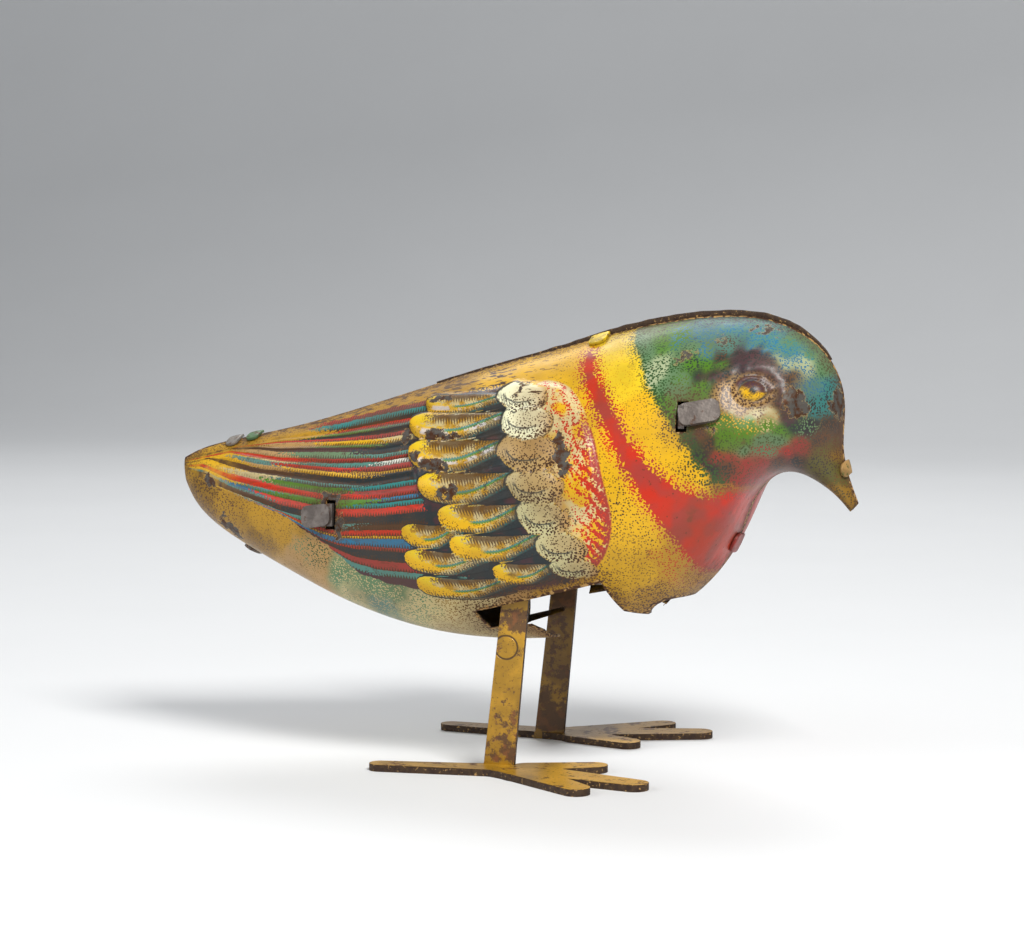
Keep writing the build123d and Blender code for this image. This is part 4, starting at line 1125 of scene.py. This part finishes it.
    # dirt: slow stains and dark specks; near the rim, dirt and painted shade
    stain = n.step(n.noise(3.2, detail=5.0, roughness=0.65, shift=2.0), 0.60, 0.72)
    stain = n.times(stain, n.step(n.noise(14.0, detail=2.0, shift=7.0), 0.50, 0.62))
    paint = n.mix(n.times(stain, 0.65), paint, tint("dirt", 0.8))
    specks = n.step(n.noise(0.7, detail=3.0, roughness=0.7, shift=4.0), 0.64, 0.70)
    paint = n.mix(n.times(specks, 0.75), paint, tint("brown"))
    paint = n.mix(n.times(n.step(slow, 0.40, 0.70), 0.32), paint, tint("dirt", 0.9))
    # Near the rim: rust-brown dots and wash, partly dirt and partly painted shade.
    seam_grime_and_shade = n.step(n.add(n.number("rim"), n.times(n.math("SUBTRACT", ragged, 0.5), 3.0)), 4.2, 0.4)
    grime_and_shade_dots = n.step(n.math("SUBTRACT", n.times(seam_grime_and_shade, 0.62), stipple), -0.05, 0.08)
    paint = n.mix(n.times(grime_and_shade_dots, 0.7), paint, tint("rust", 0.7))
    paint = n.mix(n.times(seam_grime_and_shade, 0.35), paint, tint("rust", 0.8))
    # bare places
    edge_wear = n.step(n.number("rim"), 1.1, 0.15)
    flake = n.add(n.number("chip"),
            n.times(n.math("SUBTRACT", n.noise(1.2, detail=5.0, roughness=0.68), 0.5), 2.6))
    tiny = n.step(n.noise(2.4, detail=6.0, roughness=0.7, shift=6.0), 0.735, 0.75)
    bare = n.math("MAXIMUM", n.step(flake, 0.0, 0.06), tiny)
    rusty = n.step(n.noise(1.0, detail=4.0, roughness=0.65, shift=1.0), 0.42, 0.62)
    metal = n.mix(rusty, tint("steel", 0.42), tint("rust", 0.75))
    lip = n.times(n.step(flake, -0.10, -0.03), n.step(flake, 0.04, 0.0))
    paint = n.mix(n.times(lip, 0.5), paint, tint("tan"))
    paint = n.mix(bare, paint, metal)
    rim_noise = n.add(edge_wear, n.times(n.math("SUBTRACT", n.noise(0.9, detail=4.0), 0.5), 1.6))
    rim_dark = n.step(rim_noise, 0.55, 0.72)
    rim_paint = n.mix(n.step(fine, 0.48, 0.60), tint("rust", 0.6), tint("tan"))
    paint = n.mix(rim_dark, paint, rim_paint)
    # surface
    worn = n.math("MAXIMUM", bare, rim_dark)
    roughness = n.add(n.times(worn, 0.22), n.add(0.29, n.times(n.noise(2.0, detail=4.0, shift=8.0), 0.22)))
    roughness = n.add(roughness, n.add(n.times(specks, 0.15), n.times(seam_grime_and_shade, 0.25)))
    height = n.add(n.times(worn, -0.5), n.times(n.noise(0.5, detail=3.0), 0.25))
    height = n.add(height, n.times(dots, 0.08))
    normal = n.bump(height, 0.06, 0.8)
    normal = n.bump(n.noise(3.0, detail=2.0, shift=11.0), 0.35, 0.35, after=normal)
    return n.finish(paint, roughness, normal, metallic=n.times(bare, 0.6), specular_ior_level=0.30,
                    coat_weight=0.10, coat_roughness=0.15)


def along_mm(n):
    node = n.tree.nodes.new("ShaderNodeSeparateXYZ")
    n.link(n.place, node.inputs[0])
    return n.add(n.times(node.outputs[0], 1000.0), -ANKLE_X)


def upward_mm(n):
    node = n.tree.nodes.new("ShaderNodeSeparateXYZ")
    n.link(n.place, node.inputs[0])
    return n.times(node.outputs[2], 1000.0)


def stripe_along(n):
    """Teeth of the printed hatching, 0.42 mm apart and leaning a little."""
    node = n.tree.nodes.new("ShaderNodeSeparateXYZ")
    n.link(n.place, node.inputs[0])
    lean = n.add(n.times(node.outputs[0], 1000 / 0.42), n.times(node.outputs[2], 1000 / 1.1))
    return n.add(lean, 400.0)


def worn_metal(name, light, dark, stain, rough, metallic=0.9, grain=0.6, stain_level=0.56):
    """Old steel or brass: cloudy colour, stains, fine pitting."""
    n = Nodes(name)
    cloud = n.noise(2.4, detail=4.0, roughness=0.6)
    paint = n.mix(n.step(cloud, 0.38, 0.64), light, dark)
    marks = n.noise(grain * 2, detail=6.0, roughness=0.68, shift=3.0)
    stained = n.step(marks, stain_level, stain_level + 0.12)
    paint = n.mix(n.times(stained, 0.85), paint, stain)
    roughness = n.add(n.times(stained, 0.28), n.add(rough, n.times(cloud, 0.15)))
    normal = n.bump(n.add(n.times(stained, 0.35), n.noise(grain, detail=4.0)), 0.05, 0.9)
    metal = n.math("SUBTRACT", metallic, n.times(stained, metallic * 0.75))
    return n.finish(paint, roughness, normal, metallic=metal)


RING_AT = (1.15, 17.3)


def leg_lacquer():
    """Gold lacquer over tin, rusted towards the ankle and under the body,
    with a scribed ring on the outer face."""
    n = Nodes("leg_lacquer")
    cloud = n.noise(4.5, detail=4.0, roughness=0.6)
    paint = n.mix(n.step(cloud, 0.38, 0.62), tint("gold", 1.15), tint("gold", 0.8))
    paint = n.mix(n.step(n.noise(7.0, detail=2.0, shift=2.0), 0.50, 0.66), paint, tint("ochre"))
    split = n.tree.nodes.new("ShaderNodeSeparateXYZ")
    n.link(n.place, split.inputs[0])
    x, y, z = (n.times(split.outputs[k], 1000.0) for k in range(3))
    toes = n.times(n.step(x, ANKLE_X + 6.0, ANKLE_X + 10.0), n.step(z, 1.5, 1.1))
    paint = n.mix(n.times(toes, 0.7), paint, tint("gold", 1.8))
    low = n.times(n.step(z, 12.5, 2.5), n.step(z, 1.1, 1.8))
    high = n.step(z, 17.5, 20.5)
    worn = n.add(n.times(n.math("MAXIMUM", low, high), 0.125), n.times(n.step(y, 8.0, 13.0), 0.04))
    blotch = n.step(n.add(n.noise(2.0, detail=6.0, roughness=0.7, shift=4.0), worn), 0.55, 0.63)
    paint = n.mix(n.times(blotch, 0.9), paint, tint("rust", 0.75))
    glow = n.step(n.noise(1.2, detail=4.0, shift=9.0), 0.52, 0.64)
    paint = n.mix(n.times(n.times(glow, blotch), 0.55), paint, (0.28, 0.09, 0.02))
    speck = n.step(n.noise(0.5, detail=4.0, roughness=0.7, shift=6.0), 0.58, 0.64)
    paint = n.mix(n.times(speck, 0.75), paint, tint("brown", 0.8))
    ring_x, ring_z = n.add(x, -(RING_AT[0] + ANKLE_X)), n.add(z, -RING_AT[1])
    radius = n.math("SQRT", n.add(n.times(ring_x, ring_x), n.times(ring_z, ring_z)))
    # The far leg and foot, y above 8 mm, are darkened towards near-black brown: painted shade.
    paint = n.mix(n.times(n.step(y, 8.0, 12.0), 0.55), paint, (0.075, 0.036, 0.012))
    off_line = n.math("ABSOLUTE", n.math("SUBTRACT", radius, 1.62))
    ring = n.times(n.step(n.add(off_line, n.times(n.noise(0.7), 0.08)), 0.22, 0.12),
            n.step(y, -12.0, -12.6))
    paint = n.mix(n.times(ring, 0.85), paint, tint("brown", 0.6))
    roughness = n.add(n.times(blotch, 0.25), n.add(0.28, n.times(cloud, 0.2)))
    height = n.add(n.times(blotch, -0.5), n.times(n.noise(0.7, detail=4.0), 0.8))
    normal = n.bump(n.math("SUBTRACT", height, ring), 0.08, 0.8)
    return n.finish(paint, roughness, normal, metallic=n.times(n.math("SUBTRACT", 1.0, blotch), 0.2),
            coat_weight=0.2,
                    coat_roughness=0.2)


def pressed_leg(node, material, edge_material):
    """A leg from its CAD form with the sheet's edges rolled over a little and left raw."""
    leg = bpy.data.objects.new(node + "_tin", frame["nodes"][node].data.copy())
    bpy.context.scene.collection.objects.link(leg)
    mesh = leg.data
    mesh.materials.clear()
    mesh.materials.append(material)
    mesh.materials.append(edge_material)
    for polygon in mesh.polygons:
        in_foot = polygon.center.z < 1.2 * MM
        flat_sheet = abs(polygon.normal.z if in_foot else polygon.normal.y) > 0.7
        polygon.material_index = 0 if flat_sheet else 1
    work = bmesh.new()
    work.from_mesh(mesh)
    bmesh.ops.remove_doubles(work, verts=work.verts, dist=1e-7)
    bmesh.ops.dissolve_limit(work, angle_limit=math.radians(1), verts=work.verts, edges=work.edges)
    work.to_mesh(mesh)
    work.free()
    bevel = leg.modifiers.new("rolled_edge", "BEVEL")
    bevel.width, bevel.segments, bevel.limit_method = 0.11 * MM, 2, "ANGLE"
    bevel.angle_limit = math.radians(40)
    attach(leg, "legs")
    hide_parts(node)


def worn_edge():
    """Raw, rusted edge of the tin with crumbs of old lacquer."""
    n = Nodes("worn_edge")
    paint = n.mix(n.step(n.noise(0.9, detail=5.0, roughness=0.65), 0.40, 0.60), tint("rust", 0.28),
            tint("dirt", 0.5))
    paint = n.mix(n.step(n.noise(0.5, detail=4.0, roughness=0.7, shift=3.0), 0.58, 0.66), paint,
            tint("tan"))
    normal = n.bump(n.noise(0.45, detail=5.0), 0.12, 1.0)
    return n.finish(paint, n.add(0.45, n.times(n.noise(0.8), 0.4)), normal, metallic=0.15)


def tab_print(name, ink, wear):
    """A folded tab: its own print, dirty and rubbed to the edges."""
    n = Nodes(name)
    paint = n.mix(n.step(n.noise(1.6, detail=3.0), 0.40, 0.62), tuple(PAINT[ink]), tuple(PAINT[ink] * 0.6))
    paint = n.mix(n.step(n.noise(0.8, detail=6.0, roughness=0.7, shift=2.0), 0.54, 0.62), paint,
            tuple(PAINT[wear]))
    normal = n.bump(n.noise(0.6, detail=4.0), 0.08, 0.9)
    return n.finish(paint, n.add(0.32, n.times(n.noise(1.0, shift=5.0), 0.3)), normal, metallic=0.2)


def inner_lacquer():
    """Unprinted inside of the tin: dull gold wash, dirty."""
    n = Nodes("inner_lacquer")
    cloud = n.noise(5.0, detail=5.0, roughness=0.6)
    paint = n.mix(n.step(cloud, 0.40, 0.62), tint("steel", 0.8), tint("ochre", 0.7))
    paint = n.mix(n.step(n.noise(1.2, detail=5.0, roughness=0.7), 0.52, 0.64), paint, tint("rust", 0.6))
    normal = n.bump(n.noise(0.8, detail=4.0), 0.05, 0.8)
    return n.finish(paint, n.add(0.4, n.times(cloud, 0.3)), normal, metallic=0.45)


# ---------------------------------------------------------------- build
tin_material = printed_tin()
inside_material = inner_lacquer()
for name, side in (("right_tin_half", -1), ("left_tin_half", 1)):
    half = shell_mesh(name, side, (tin_material, inside_material))
    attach(half, "bird")
    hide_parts("right_shell" if side < 0 else "left_shell")

edge_material = worn_edge()
standing_lip(edge_material)
TAB_INKS = [("lemon", "brown"), ("steel", "rust"), ("sage", "rust"), ("steel", "rust"), ("brick", "rust"),
        ("tan", "olive")]
for number, (size, inks) in enumerate(zip(TABS, TAB_INKS), 1):
    folded_tab(number, *size, tab_print(f"tab_print_{number}", *inks))

frame_steel = worn_metal("frame_steel", (0.21, 0.18, 0.16), (0.12, 0.10, 0.09), tint("rust", 0.7), 0.36,
0.75)
key_steel = worn_metal("key_steel", (0.33, 0.30, 0.27), (0.19, 0.17, 0.155), tint("rust", 0.8), 0.36, 0.8)
gear_brass = worn_metal("gear_brass", (0.48, 0.33, 0.11), (0.33, 0.22, 0.07), (0.10, 0.07, 0.03), 0.30)
spring_steel = worn_metal("spring_steel", (0.10, 0.105, 0.12), (0.05, 0.055, 0.07), tint("rust", 0.5), 0.28)
leg_paint = leg_lacquer()
pressed_leg("right_leg", leg_paint, edge_material)
pressed_leg("left_leg", leg_paint, edge_material)
FINISHES = {"frame_steel": frame_steel, "key_steel": key_steel, "gear_brass": gear_brass,
            "spring_steel": spring_steel, "leg_paint": leg_paint}
for part in frame["record"]["subparts"]:
    if part["material_slot"] in FINISHES:
        data = frame["nodes"][part["node"]].data
        data.materials.clear()
        data.materials.append(FINISHES[part["material_slot"]])


# ---------------------------------------------------------------- floor, light and camera
def studio():
    """A pale sweep of paper behind and below the toy."""
    depth, rise, half = 0.55, 0.9, 1.6
    profile = [(-1.2, 0.0), (depth, 0.0)]
    profile += [(depth + 0.35 * math.sin(a), 0.35 - 0.35 * math.cos(a))
            for a in np.linspace(0.1, math.pi / 2, 12)]
    profile.append((depth + 0.35, rise))
    co = [(x, y, z) for y, z in profile for x in (-half, half)]
    faces = [(2 * k, 2 * k + 1, 2 * k + 3, 2 * k + 2) for k in range(len(profile) - 1)]
    mesh = bpy.data.meshes.new("studio_sweep")
    mesh.from_pydata(co, [], faces)
    mesh.polygons.foreach_set("use_smooth", [True] * len(faces))
    sweep = bpy.data.objects.new("studio_sweep", mesh)
    bpy.context.scene.collection.objects.link(sweep)
    n = Nodes("pale_paper")
    tone = n.mix(n.noise(60.0, detail=3.0), (0.78, 0.79, 0.80), (0.82, 0.83, 0.84))
    mesh.materials.append(n.finish(tone, 0.6))


def soft_light(name, at, aim, width, height, watts, colour=(1, 1, 1)):
    light = bpy.data.lights.new(name, "AREA")
    light.shape, light.size, light.size_y = "RECTANGLE", width, height
    light.energy, light.color = watts, colour
    lamp = bpy.data.objects.new(name, light)
    lamp.location = at
    lamp.rotation_euler = (Vector(aim) - Vector(at)).to_track_quat("-Z", "Y").to_euler()
    bpy.context.scene.collection.objects.link(lamp)


studio()
middle = (cad_low + cad_high) / 2
soft_light("key_light", (0.26, -0.30, 0.46), middle, 0.20, 0.20, 3.6, (1.0, 0.985, 0.96))
soft_light("fill_light", (-0.48, -0.30, 0.30), middle, 0.40, 0.40, 1.2, (0.97, 0.985, 1.0))
soft_light("back_light", (-0.10, 0.42, 0.50), middle, 0.40, 0.25, 1.6)
world = bpy.data.worlds.new("studio_air")
bpy.context.scene.world = world
world.use_nodes = True
world.node_tree.nodes["Background"].inputs["Color"].default_value = (0.75, 0.78, 0.82, 1)
world.node_tree.nodes["Background"].inputs["Strength"].default_value = 0.26

bpy.context.scene.view_settings.view_transform = "Standard"

camera_data = bpy.data.cameras.new("camera")
camera = bpy.data.objects.new("camera", camera_data)
bpy.context.scene.collection.objects.link(camera)
bpy.context.scene.camera = camera
camera_data.lens = 99.14
camera_data.sensor_width = 36.0
camera_data.clip_start, camera_data.clip_end = 0.01, 10
camera.location = (0.10995, -0.38014, 0.07385)
look_at = Vector((0.0002, 0.0, 0.0399))
camera.rotation_euler = (look_at - camera.location).to_track_quat("-Z", "Y").to_euler()
